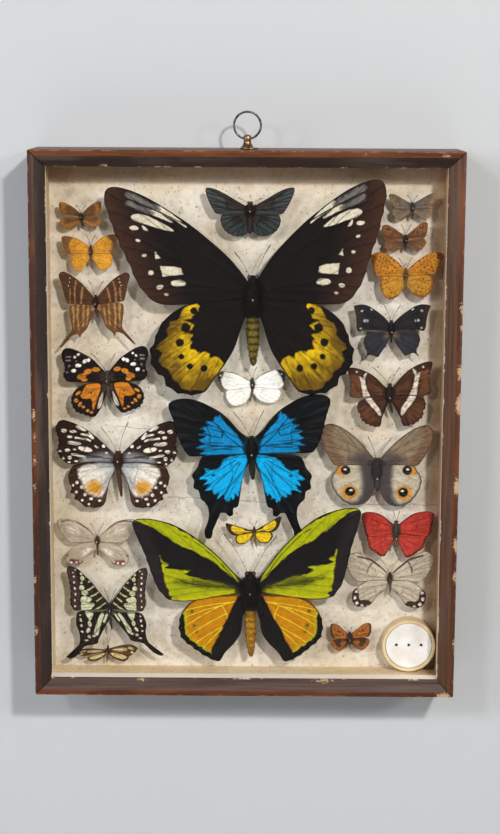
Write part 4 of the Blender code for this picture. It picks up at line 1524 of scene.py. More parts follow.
@dataclass(frozen=True)
class CaseWood:
    """Old varnished moulding: red-brown rim, dull purple-brown bevel, worn and chipped."""

    rim: str = "5c3420"
    bevel: str = "4a3a34"
    patch: str = "74401f"
    dust: str = "5a4a44"
    bare: str = "b99b78"
    flake: str = "dccfb8"
    chips: tuple = (
        Chip(135.7, 191.2, 1.1), Chip(82.0, 191.4, 0.7), Chip(-148.2, 10.2, 1.5), Chip(-147.8, -5.5, 1.0),
        Chip(-148.0, -22.6, 1.1), Chip(-148.2, -41.3, 1.0), Chip(-148.8, -108.9, 1.1),
        Chip(-148.8, -146.5, 1.2), Chip(149.3, 87.1, 1.4), Chip(149.6, 73.2, 1.2), Chip(149.2, 41.7, 2.2),
        Chip(149.2, 19.1, 2.8), Chip(149.0, -39.4, 2.6), Chip(149.3, -81.4, 2.2), Chip(149.4, -104.7, 1.8),
        Chip(149.6, -154.1, 1.2), Chip(142.7, -192.9, 2.2), Chip(-73.7, -183.9, 1.6, -52.0),
        Chip(52.0, -183.9, 1.5, -52.0), Chip(57.5, -183.7, 2.0, -52.0), Chip(-97.9, 183.7, 1.5, -52.0),
        Chip(62.8, -183.9, 1.5, -52.0))

    def paint(self, name: str, upright: bool) -> bpy.types.Material:
        """Varnished softwood: planed moulding, stained and varnished by hand, then worn for decades.

        It gives the eye a red-brown rim and a dull bevel with grain along the piece, rubbed arrises
        and pale chips of bare wood.

        Args:
            name: Name of the material.
            upright: Whether the grain runs up and down.

        Returns:
            The material.
        """
        wood = Surface(name, Coat_Weight=0.06, Coat_Roughness=0.3, Specular_IOR_Level=0.25)
        add, place = wood.add, wood.add(Node.PLACE)
        x, y, z = (add(kind, place) for kind in (Node.X, Node.Y, Node.Z))

        def along(times: float) -> Vector:
            """Factors that press a pattern together across the grain."""
            return Vector((times, times, 1.0) if upright else (1.0, times, times))

        inset = add(Node.LEAST, add(Node.TAKE, HALF_WIDE * MM, add(Node.SIZE, x)),
                    add(Node.TAKE, HALF_HIGH * MM, add(Node.SIZE, z)))
        # Growth lines: 2 mm wide and 62 mm long, twice as coarse as the wood's, so that they show.
        grain = add(Node.CLOUD, add(Node.STRETCH, place, along(30.0)), per(62.5), 8.0, 0.6)
        # Worn varnish lies in patches 10 mm wide and 70 mm long.
        patchy = add(Node.CLOUD, add(Node.STRETCH, place, along(7.0)), per(71.4), 6.0, 0.6)
        fine = add(Node.CLOUD, place, per(2.4), 5.0, 0.62)  # scuffs, 2.4 mm
        rim = add(Node.MIX, add(Node.RAMP, grain, 0.35, 0.65, 0.0, 0.8), self.rim, "3a1e12")
        rim = add(Node.MIX, add(Node.RAMP, patchy, 0.48, 0.74, 0.0, 0.8), rim, self.patch)
        dull = add(Node.MIX, add(Node.RAMP, grain, 0.3, 0.7, 0.0, 0.7), self.bevel, "2a1b15")
        dull = add(Node.MIX, add(Node.RAMP, patchy, 0.46, 0.7, 0.0, 0.55), dull, self.dust)
        # In front of y = -52 the bevel begins 4.2 mm from the outer face; all else looks like the rim.
        front = add(Node.RAMP, y, -51.5 * MM, -52.5 * MM)
        edge = add(Node.TIMES_ADD, fine, 0.5 * MM, inset)
        colour = add(Node.MIX, add(Node.TIMES, front, add(Node.RAMP, edge, 4.1 * MM, 4.6 * MM)), rim, dull)
        arris = add(Node.SIZE, add(Node.TAKE, edge, 4.2 * MM))
        rubbed = add(Node.TIMES, add(Node.RAMP, arris, 0.2 * MM, 0.8 * MM, 1.0, 0.0),
                     add(Node.RAMP, fine, 0.5, 0.62, 0.0, 0.45))
        colour = add(Node.MIX, rubbed, colour, self.patch)
        # The outer corners are knocked within a millimetre of the front, the rear and the sides.
        corners = add(Node.MOST, add(Node.RAMP, y, -56.2 * MM, -56.7 * MM),
                      add(Node.RAMP, y, -1.0 * MM, -0.5 * MM))
        corners = add(Node.TIMES, corners, add(Node.RAMP, inset, 0.4 * MM, 1.2 * MM, 1.0, 0.0))
        knocks = add(Node.CLOUD, place, per(7.1), 6.0)  # knocks on the corners, 7 mm long
        colour = add(Node.MIX, add(Node.TIMES, corners, add(Node.RAMP, knocks, 0.50, 0.62, 0.0, 0.8)),
                     colour, "8f6a4c")
        ragged = add(Node.TIMES, add(Node.CLOUD, place, per(1.5), 6.0, 0.75), 9 * MM)  # torn in 1.5 mm bits
        whole = 1.0
        # A chip is two and a half times as long along the grain as across it.
        squeeze = Vector((1.0, 1.0, 0.4) if upright else (0.4, 1.0, 1.0))
        squeezed = add(Node.STRETCH, place, squeeze)
        for chip in self.chips:
            away = add(Node.DISTANCE, squeezed, Vector((chip.x, chip.y, chip.z)) * squeeze * MM)
            edge_at = chip.radius + CHIP_EDGE
            whole = add(Node.TIMES, whole, add(Node.RAMP, add(Node.ADD, away, ragged),
                                               edge_at * MM, (edge_at + CHIP_SOFT) * MM))
        colour = add(Node.MIX, add(Node.TAKE, 1.0, whole), colour, self.bare)
        # The lip begins 12 mm from the outer face.
        lip = add(Node.RAMP, add(Node.TIMES_ADD, fine, 1.2 * MM, inset), 11.6 * MM, 12.1 * MM)
        shreds = add(Node.CLOUD, place, per(11.1), 6.0, 0.7)  # paper left on the lip, 11 mm long
        colour = add(Node.MIX, add(Node.TIMES, lip, add(Node.RAMP, shreds, 0.55, 0.62)), colour, self.flake)
        matt = add(Node.TIMES, front, add(Node.RAMP, inset, 4.0 * MM, 4.6 * MM, 0.0, 0.3))
        relief = add(Node.TIMES_ADD, grain, 0.6, add(Node.TIMES, whole, 0.8))
        return wood.dress(Base_Color=colour, Normal=add(Node.BUMP, relief, 0.5, 0.5 * MM),
                          Roughness=add(Node.ADD, add(Node.RAMP, fine, 0.3, 0.7, 0.36, 0.5), matt))


@dataclass(frozen=True)
class Crack:
    """Fine crack in the board's paper: two ends, x and z in millimetres."""

    start: tuple
    end: tuple

    def share(self, paper: Surface, x: bpy.types.NodeSocket, z: bpy.types.NodeSocket,
              wander: bpy.types.NodeSocket) -> bpy.types.NodeSocket:
        """One on the crack and nothing beside it.

        Args:
            paper: Surface that the crack runs through.
            x: Output that gives x in metres.
            z: Output that gives z in metres.
            wander: Output that gives how far the crack strays.

        Returns:
            The output that marks it.
        """
        (ax, az), (bx, bz) = self.start, self.end
        slope = (bz - az) / (bx - ax)
        add = paper.add
        level = add(Node.TIMES_ADD, x, slope, (az - slope * ax) * MM)
        away = add(Node.SIZE, add(Node.TAKE, add(Node.ADD, z, wander), level))
        ends = add(Node.TIMES, add(Node.RAMP, x, ax * MM, (ax + CRACK_FADE) * MM),
                   add(Node.RAMP, x, bx * MM, (bx - CRACK_FADE) * MM))
        return add(Node.TIMES, ends, add(Node.RAMP, away, *CRACK_EDGE, 0.6, 0.0))


@dataclass(frozen=True)
class AgedPaper:
    """Old paper that has yellowed in clouds and caught dust and specks.

    Dirt gives x, z and radius of its blots in millimetres. Lip is the colour of its front edge where
    that differs, and aged is that of the painted shade: brown strips at the top and on the right,
    where the frame casts its shadow.
    """

    base: str
    shade: str
    stain: str = "5e4a36"
    cracks: tuple = ()
    dirt: tuple = ()
    lip: str = ""
    # aged is the colour of the painted shade along the top and the right, not of ageing
    aged: str = "9a6c34"

    def paint(self, name: str) -> bpy.types.Material:
        """Aged rag paper: pressed and pasted on; it looks matt, toothy and yellowed in clouds.

        Dark specks lie on it, and fine cracks run where it has shrunk. Painted shade browns its top and
        right strips, where the frame's shadow falls.

        Args:
            name: Name of the material.

        Returns:
            The material.
        """
        paper = Surface(name, Roughness=0.88, Specular_IOR_Level=0.2)
        add, place = paper.add, paper.add(Node.PLACE)
        x, y, z = (add(kind, place) for kind in (Node.X, Node.Y, Node.Z))
        cloud = add(Node.CLOUD, place, per(62.5), 6.0, 0.62)  # yellowed clouds as wide as a hand
        tooth = add(Node.CLOUD, place, per(1.1), 5.0, 0.7)  # felt marks of 1.1 mm
        colour = add(Node.MIX, add(Node.RAMP, cloud, 0.38, 0.68), self.base, self.shade)
        # Dust and damp have left blots of 13 mm and 4 mm.
        for size, low, high, show, tint in ((13.3, 0.46, 0.76, 0.45, "b7a88f"),
                                            (3.8, 0.44, 0.7, 0.5, "b9ab92")):
            blots = add(Node.RAMP, add(Node.CLOUD, place, per(size), 6.0, 0.7), low, high, 0.0, show)
            colour = add(Node.MIX, blots, colour, tint)
        # One speck at most in each cell of 6 mm or 2.4 mm.
        for size, rare, wide, show in ((5.9, 0.5, 0.10, 0.85), (2.4, 0.45, 0.24, 0.6)):
            spots = add(Node.CELLS, place, per(size))
            chance = add(Node.RED, spots.node.outputs["Color"])
            speck = add(Node.BELOW, spots, add(Node.RAMP, chance, rare, 1.0, 0.0, wide))
            colour = add(Node.MIX, add(Node.TIMES, speck, show), colour, self.stain)
        # A crack strays by up to 4.5 mm.
        wander = add(Node.TIMES_ADD, add(Node.CLOUD, place, per(16.7), 6.0, 0.7), 9 * MM, -4.5 * MM)
        for crack in self.cracks:
            colour = add(Node.MIX, crack.share(paper, x, z, wander), colour, self.stain)
        threads = add(Node.RAMP, add(Node.CLOUD, place, per(3.0), 6.0, 0.75), 0.55, 0.6)
        for blot_x, blot_z, radius in self.dirt:
            away = add(Node.DISTANCE, place, Vector((blot_x, BOARD_FRONT, blot_z)) * MM)
            blot = add(Node.RAMP, add(Node.TIMES_ADD, tooth, 6 * MM, away),
                       radius * MM, (radius + 6) * MM, 0.5, 0.0)
            colour = add(Node.MIX, blot, colour, "8d7757")
            colour = add(Node.MIX, add(Node.TIMES, threads, blot), colour, "e9e6df")
        # Painted shade: browner strips along the top and the right, where the frame's shadow falls.
        top = add(Node.RAMP, add(Node.TIMES_ADD, cloud, -6 * MM, z), 156 * MM, 178 * MM)
        right = add(Node.RAMP, add(Node.TIMES_ADD, cloud, -6 * MM, x), 122 * MM, 134 * MM)
        colour = add(Node.MIX, add(Node.TIMES, add(Node.MOST, top, right), 0.66), colour, self.aged)
        if self.lip:
            torn = add(Node.RAMP, add(Node.TIMES_ADD, cloud, 3 * MM, y), -37.0 * MM, -37.6 * MM)
            colour = add(Node.MIX, torn, colour, self.lip)
        relief = add(Node.TIMES_ADD, cloud, 4.0, tooth)
        return paper.dress(Base_Color=colour, Normal=add(Node.BUMP, relief, 0.6, 0.45 * MM))


@dataclass
class Case:
    """Mitred timber box with its paper, back panel and pane."""

    nodes: dict
    arris: float = 0.45

    def timber(self, node: str, upright: bool, wood: CaseWood) -> None:
        """One side of the case with rounded arrises in place of its plain solid.

        Args:
            node: Name of its solid.
            upright: Whether its grain runs up and down.
            wood: Its finish.
        """
        item = stand(f"{node}_timber", self.nodes[node].data.copy())
        item.data.materials.clear()
        only(item)
        edit()
        bpy.ops.mesh.remove_doubles(threshold=0.00001)
        bpy.ops.mesh.dissolve_limited(angle_limit=0.01)
        bpy.ops.object.mode_set(mode="OBJECT")
        apply(item, "BEVEL", width=self.arris * MM, segments=3, limit_method="ANGLE", angle_limit=0.6)
        settle(crisp(item, item.name, 0.6), item.name, wood.paint(f"varnished wood {node}", upright))
        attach(item, BOX)
        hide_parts(node)
        LOG.info("%s made", item.name)

    def back(self) -> bpy.types.Material:
        """Hardboard: hot-pressed wood fibre; brown, matt and flecked, with pale marks of damp.

        Returns:
            The material.
        """
        board = Surface("hardboard", Roughness=0.75)
        add, place = board.add, board.add(Node.PLACE)
        fibre = add(Node.CLOUD, place, per(1.4), 6.0, 0.7)  # bundles of fibre, 1.4 mm
        damp = add(Node.CLOUD, place, per(71.4), 5.0, 0.55)  # damp marks, 70 mm
        colour = add(Node.MIX, add(Node.RAMP, fibre, 0.35, 0.65), "7d5a3a", "5a3c24")
        colour = add(Node.MIX, add(Node.RAMP, damp, 0.45, 0.75, 0.0, 0.6), colour, "8c7358")
        return board.dress(Base_Color=colour, Normal=add(Node.BUMP, fibre, 0.5, 0.3 * MM))

    def glass(self) -> bpy.types.Material:
        """Window glass: drawn sheet; clear, and seen only by what its face mirrors, most at a glance.

        Returns:
            The material.
        """
        pane = Surface("clear glass", Metallic=1.0, Base_Color="f4faf8")
        add = pane.add
        smear = add(Node.CLOUD, add(Node.PLACE), per(33.3), 4.0)  # wiped smears, 33 mm
        mirrored = add(Node.TIMES_ADD, add(Node.POWER, add(Node.FACING), 5.0), 0.9, 0.006)
        return pane.dress(Roughness=add(Node.RAMP, smear, 0.3, 0.8, 0.03, 0.08), Alpha=mirrored)

    def brads(self) -> None:
        """Small nails that hold the back panel, their heads just proud of it."""
        steel = tarnished("brad steel", "6f675c", "a39a8b", 0.4)
        deselect()
        heads = []
        places = [(x, z) for x in (-134, -67, 0, 67, 134) for z in (-178, 178)]
        places += [(x, z) for x in (-134, 134) for z in (-107, -36, 36, 107)]
        first = drawn("brad", turned(((0.5, 0), (0.5, 0.9), (1.1, 0.95), (1.1, 1.1), (0.7, 1.2))), 14, steel)
        first.data.transform(Matrix.Rotation(-math.pi / 2, 4, "X"))
        for x, z in places:
            head = stand("brad", first.data.copy())
            head.data.transform(Matrix.Translation(Vector((x, BRAD_FOOT, z)) * MM))
            heads.append(head)
        bpy.data.objects.remove(first)
        item = joined("back_brads", heads)
        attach(item, BOX)

    def build(self) -> None:
        """Dress the four sides, the papers, the panel and the pane."""
        # The sides differ in colour by how light falls on them: the top bevel is painted near black as shade,
        # the bottom bevel greyer as a painted sheen from the lamps above, the right side lighter and warmer
        # as painted light from the key lamp, the left side darker as painted shade.
        for node, upright, wood in (("side_left", True, CaseWood("402116", "2f2421")),
                                    ("side_right", True, CaseWood("583320", "5e3f2b")),
                                    ("side_bottom", False, CaseWood("582812", "5c4841")),
                                    ("side_top", False, CaseWood("6c3c1c", "24150c"))):
            self.timber(node, upright, wood)
        self.dress("back_panel", self.back())
        board = AgedPaper("eae5da", "dccfb8", cracks=(
            Crack((-58.3, -56.2), (-11.2, -58.1)), Crack((-11.2, -58.1), (39.5, -61.5)),
            Crack((68.5, -61.3), (140.9, -60.8)), Crack((-96, -4), (-30, -9))),
            dirt=((-130, 176, 8), (-124, 163, 4)))
        self.dress("pinning_board", board.paint("board paper"))
        self.dress("paper_lining", AgedPaper("ecd8b4", "d8bc90", lip="f4efe6").paint("lining paper"))
        self.dress("glass_pane", self.glass())
        self.brads()

    def dress(self, node: str, material: bpy.types.Material) -> None:
        """Give a CAD solid its finish.

        Args:
            node: Name of the solid.
            material: Its finish.
        """
        mesh = self.nodes[node].data
        mesh.materials.clear()
        mesh.materials.append(material)
        LOG.info("%s dressed", node)


def tarnished(name: str, dark: str, light: str, rough: float) -> bpy.types.Material:
    """Old bare metal: drawn or turned; bright where it is rubbed, dull and dark in clouds of tarnish.

    Args:
        name: Name of the metal.
        dark: Colour of the tarnish.
        light: Colour of the bare metal.
        rough: Middle roughness.

    Returns:
        The material.
    """
    metal = Surface(name, Metallic=1.0)
    add, place = metal.add, metal.add(Node.PLACE)
    tarnish = add(Node.CLOUD, place, per(2.6), 6.0, 0.65)  # tarnish in clouds of 2.6 mm
    scratches = add(Node.CLOUD, place, per(0.45), 3.0)  # rubbing marks, 0.45 mm
    colour = add(Node.MIX, add(Node.RAMP, tarnish, 0.35, 0.65), dark, light)
    return metal.dress(Base_Color=colour, Normal=add(Node.BUMP, scratches, 0.25, 0.1 * MM),
                       Roughness=add(Node.RAMP, tarnish, 0.3, 0.7, rough + 0.15, rough - 0.1))


@dataclass
class Hanger:
    """Brass bell on the top edge and the steel ring through its eye."""

    x: float = 0.2
    y: float = -28.5
    top: float = 194.3
    eye: float = 201.05
    eye_radius: float = 1.4
    ring_radius: float = 9.35
    wire: float = 0.75

    def base(self) -> bpy.types.Object:
        """Bell with a rolled foot, a waist and a drilled head, on a thin flange.

        Returns:
            The piece.
        """
        brass = tarnished("aged brass", "57432e", "b8986e", 0.34)
        profile = ((0.3, 0.0), (5.0, 0.0), (5.15, 0.35), (5.0, 0.8), (4.5, 1.1), (3.7, 2.1), (3.05, 3.3),
                   (2.7, 4.4), (2.6, 5.2), (2.75, 5.8), (2.85, 7.4), (2.75, 8.5), (2.3, 9.2), (1.5, 9.6),
                   (0.3, 9.72))
        bell = drawn("bell", turned(profile, Vector((self.x, self.y, self.top))), 32, brass)
        plate = ((0.3, 0), (6.3, 0), (6.6, 0.2), (6.6, 0.55), (6.2, 0.8), (4.6, 0.85), (0.3, 1.0))
        foot = drawn("flange", turned(plate, Vector((self.x + 1.2, self.y, self.top)), 0.92), 36, brass)
        apply(bell, "BOOLEAN", operation="UNION", object=foot, solver="EXACT")
        bpy.data.objects.remove(foot)
        drilled(bell, self.eye_radius, 16.0, (self.x, self.y, self.eye), math.pi / 2)
        apply(bell, "BEVEL", width=0.12 * MM, segments=2, limit_method="ANGLE", angle_limit=0.7)
        return crisp(bell, "hanger_bell", 0.6)

    def ring(self) -> bpy.types.Object:
        """Ring of bent wire: a round section spun about the ring's middle, with a brazed joint.

        Returns:
            The piece.
        """
        middle = Vector((self.x, self.y, self.eye + self.ring_radius)) * MM
        deselect()
        bpy.ops.mesh.primitive_circle_add(vertices=16, radius=self.wire * MM, fill_type="NOTHING",
                                          location=middle - Vector((0, 0, self.ring_radius * MM)),
                                          rotation=(0, math.pi / 2, 0))
        item = bpy.context.object
        bpy.ops.object.transform_apply(location=True, rotation=True)
        edit()
        bpy.ops.mesh.spin(steps=72, angle=math.tau, center=middle, axis=(0, 1, 0))
        bpy.ops.mesh.select_all(action="SELECT")
        bpy.ops.mesh.remove_doubles(threshold=0.00002)
        bpy.ops.mesh.normals_make_consistent(inside=False)
        bpy.ops.object.mode_set(mode="OBJECT")
        bpy.ops.object.shade_smooth()
        steel = tarnished("ring steel", "2c2a27", "8a8780", 0.34)
        settle(item, "ring_wire", steel)
        angle = math.radians(68)  # from the ring's top to its joint
        seam = ball("seam", Vector((self.x + self.ring_radius * math.sin(angle), self.y,
                                    self.eye + self.ring_radius + self.ring_radius * math.cos(angle))),
                    (0.86, 0.86, 0.55), 16, steel)
        return joined("hanger_ring_wire", [item, seam])

    def build(self) -> None:
        """Make the bell and the ring in place of their plain solids."""
        for piece, body, node, slot in ((self.base(), BOX, "hanger_base", "aged_brass"),
                                        (self.ring(), RING, "hanger_ring", "ring_steel")):
            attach(piece, body)
            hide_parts(node)
            LOG.info("%s made", piece.name)


@dataclass
class Cup:
    """Ivory plastic cup for the fumigant and its white vented lid.

    Sizes are millimetres. Gap is how far it stands off the paper, and play is how far the lid's rim
    is from its wall.
    """

    x: float = 119.4
    z: float = -163.2
    radius: float = 19.4
    height: float = 13.0
    wall: float = 2.4
    recess: float = 0.9
    lid: float = 1.6
    vents: tuple = (-9.0, 0.0, 9.0)
    vent_radius: float = 1.15
    gap: float = 0.3
    play: float = 0.3

    def facing(self, item: bpy.types.Object, back: float) -> bpy.types.Object:
        """Turn a form drawn along Z so that its top faces the glass, its foot at the given y.

        Args:
            item: The form.
            back: y of its foot.

        Returns:
            The same form.
        """
        item.data.transform(Matrix.Translation(Vector((self.x, back, self.z)) * MM)
                            @ Matrix.Rotation(math.pi / 2, 4, "X"))
        return item

    def plastic(self, name: str, base: str, shade: str) -> bpy.types.Material:
        """Polystyrene: injection moulded; smooth and a little waxy, yellowed and finely scratched.

        Args:
            name: Name of the plastic.
            base: Its colour.
            shade: Colour where it has yellowed.

        Returns:
            The material.
        """
        shell = Surface(name, Subsurface_Weight=0.12, Subsurface_Scale=2 * MM)
        add, place = shell.add, shell.add(Node.PLACE)
        aged = add(Node.CLOUD, place, per(14.3), 5.0)  # yellowed places, 14 mm
        scratches = add(Node.CLOUD, place, per(0.77), 4.0)  # scratches, 0.8 mm
        colour = add(Node.MIX, add(Node.RAMP, aged, 0.35, 0.7), base, shade)
        colour = add(Node.MIX, add(Node.RAMP, scratches, 0.62, 0.75, 0.0, 0.3), colour, "8c7a60")
        return shell.dress(Base_Color=colour, Normal=add(Node.BUMP, aged, 0.2, 0.4 * MM),
                           Roughness=add(Node.RAMP, scratches, 0.3, 0.7, 0.34, 0.48))

    def make_cup(self) -> bpy.types.Object:
        """Wall with a rounded brim, a bore and a floor.

        Returns:
            The piece.
        """
        r, h, w = self.radius, self.height, self.wall
        profile = ((0.3, 0.0), (r - 0.9, 0.0), (r - 0.4, 0.3), (r - 0.1, 1.4), (r, h - 0.9),
                   (r - 0.12, h - 0.35), (r - 0.5, h), (r - w + 0.5, h), (r - w + 0.12, h - 0.3),
                   (r - w, h - 0.8), (r - w, 1.6), (0.3, 1.5))
        item = drawn("cup", turned(profile), 72, self.plastic("ivory plastic", "e2cfa4", "d2b888"))
        return crisp(self.facing(item, BOARD_FRONT - self.gap), "cup_ivory", 0.7)

    def make_lid(self) -> bpy.types.Object:
        """Disc with a rolled edge and three vents.

        Returns:
            The piece.
        """
        r = self.radius - self.wall - self.play
        profile = ((0.3, 0.0), (r - 0.25, 0.0), (r, 0.25), (r, self.lid - 0.3), (r - 0.3, self.lid),
                   (r - 1.2, self.lid), (r - 1.5, self.lid - 0.25), (0.3, self.lid - 0.3))
        item = drawn("lid", turned(profile), 72, self.plastic("white plastic", "f2f1ee", "e6ded6"))
        for along in self.vents:
            drilled(item, self.vent_radius, 6.0, (along, 0.6, 0.8), 0.0)
        face = BOARD_FRONT - self.gap - self.height + self.recess
        return crisp(self.facing(item, face + self.lid), "cup_lid_white", 0.7)

    def build(self) -> None:
        """Make the cup and its lid in place of their plain solids."""
        for piece, node, slot in ((self.make_cup(), "fumigant_cup", "cup_plastic"),
                                  (self.make_lid(), "cup_lid", "lid_plastic")):
            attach(piece, BOX)
            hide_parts(node)
            LOG.info("%s made", piece.name)


# Studio -------------------------------------------------------------------------------------------


@dataclass(frozen=True)
class Lamp:
    """Square lamp: its direction from the case, metres away, side in metres, watts and tint."""

    name: str
    way: tuple
    distance: float
    size: float
    power: float
    tint: str


@dataclass
class Studio:
    """Camera, pale wall and floor, and the lamps; in metres and radians, the lens in millimetres."""

    lens: float = 80.2
    camera_at: tuple = (0.0102, -1.33462, 0.2398)
    yaw: float = 0.00552
    tilt: float = 0.1782
    roll: float = 0.00509
    lamps: tuple = (Lamp("key_lamp", (0.34, -1.0, 0.5), 2.0, 0.11, 22.0, "fffaf4"),
                    Lamp("right_lamp", (0.9, -1.0, 0.46), 2.3, 0.3, 10.0, "fffaf2"),
                    Lamp("left_lamp", (-0.46, -1.0, 0.46), 2.2, 0.25, 9.0, "fffaf4"),
                    Lamp("far_left_lamp", (-1.05, -1.0, 0.46), 2.4, 0.35, 10.0, "f6f8ff"),
                    Lamp("low_left_lamp", (-1.4, -1.0, 0.25), 2.4, 0.6, 9.0, "f4f7ff"),
                    Lamp("back_lamp", (0.3, 1.0, 0.6), 2.4, 1.5, 34.0, "ffffff"))
    sky: float = 0.11
    wall_y: float = 0.0006
    floor_z: float = -0.75
    hole: tuple = (0.296, 0.384)

    def camera(self) -> None:
        """Stand the camera where the photograph was taken from."""
        data = bpy.data.cameras.new("photo_camera")
        data.lens, data.sensor_width, data.sensor_fit = self.lens, 36.0, "AUTO"
        data.clip_start, data.clip_end = 0.05, 50.0
        item = stand("photo_camera", data)
        item.matrix_world = (Matrix.Translation(self.camera_at) @ Matrix.Rotation(self.yaw, 4, "Z")
                             @ Matrix.Rotation(math.pi / 2 - self.tilt, 4, "X")
                             @ Matrix.Rotation(self.roll, 4, "Z"))
        bpy.context.scene.camera = item

    def lamp(self, lamp: Lamp) -> None:
        """Hang a square lamp that looks at the case.

        Args:
            lamp: Its place, size and light.
        """
        data = bpy.data.lights.new(lamp.name, "AREA")
        data.size, data.energy, data.color = lamp.size, lamp.power, linear(lamp.tint)[:3]
        item = stand(lamp.name, data)
        way = Vector(lamp.way)
        item.location = way.normalized() * lamp.distance
        item.rotation_euler = way.to_track_quat("Z", "Y").to_euler()

    def ground(self, name: str, tint: str, see_behind: bool) -> bpy.types.Material:
        """Wall or floor paint: rolled and matt; a wall that is seen from behind is not there.

        Args:
            name: Name of the paint.
            tint: Its colour.
            see_behind: Whether its rear is clear.

        Returns:
            The material.
        """
        paint = Surface(name, Roughness=0.9, Base_Color=tint)
        if see_behind:
            both = paint.add(Node.EITHER, paint.add(Node.BEHIND), paint.shader.outputs[0],
                             paint.add(Node.CLEAR))
            paint.put(paint.tree.nodes["Material Output"].inputs["Surface"], both)
        return paint.material

    def plane(self, name: str, size: float, place: tuple, turn: float, material: bpy.types.Material) -> None:
        """Lay a stage plane; the wall has a hole behind the case, so that light reaches the case's back.

        Args:
            name: Name of the plane.
            size: Its side in metres.
            place: Its middle.
            turn: Its tilt about X; the floor has none.
            material: Its paint.
        """
        deselect()
        bpy.ops.mesh.primitive_plane_add(size=size, location=place, rotation=(turn, 0, 0))
        item = bpy.context.object
        bpy.ops.object.transform_apply(location=True, rotation=True)
        if turn:
            wide, high = self.hole
            edit()
            bpy.ops.mesh.inset(thickness=size * 0.3)
            inner = size * 0.4
            bpy.ops.transform.resize(value=(wide / inner, 1, high / inner), center_override=place)
            bpy.ops.transform.translate(value=(0, 0, -place[2]))
            bpy.ops.mesh.delete(type="FACE")
            bpy.ops.object.mode_set(mode="OBJECT")
        settle(item, name, material)

    def build(self) -> None:
        """Place wall, floor and lamps."""
        self.plane("stage_wall", 12.0, (0, self.wall_y, 5.2), math.pi / 2,
                   self.ground("wall paint", "c2c6ca", True))
        self.plane("stage_floor", 12.0, (0, 0, self.floor_z), 0.0,
                   self.ground("floor paint", "d8d8d6", False))
        for lamp in self.lamps:
            self.lamp(lamp)
        world = bpy.data.worlds.new("soft room")
        world.use_nodes = True
        world.node_tree.nodes["Background"].inputs["Color"].default_value = linear("eef1f4")
        world.node_tree.nodes["Background"].inputs["Strength"].default_value = self.sky
        bpy.context.scene.world = world
        bpy.context.scene.view_settings.view_transform = "Standard"


# Specimens of this case, with the places of their marks on the right wings ------------------------

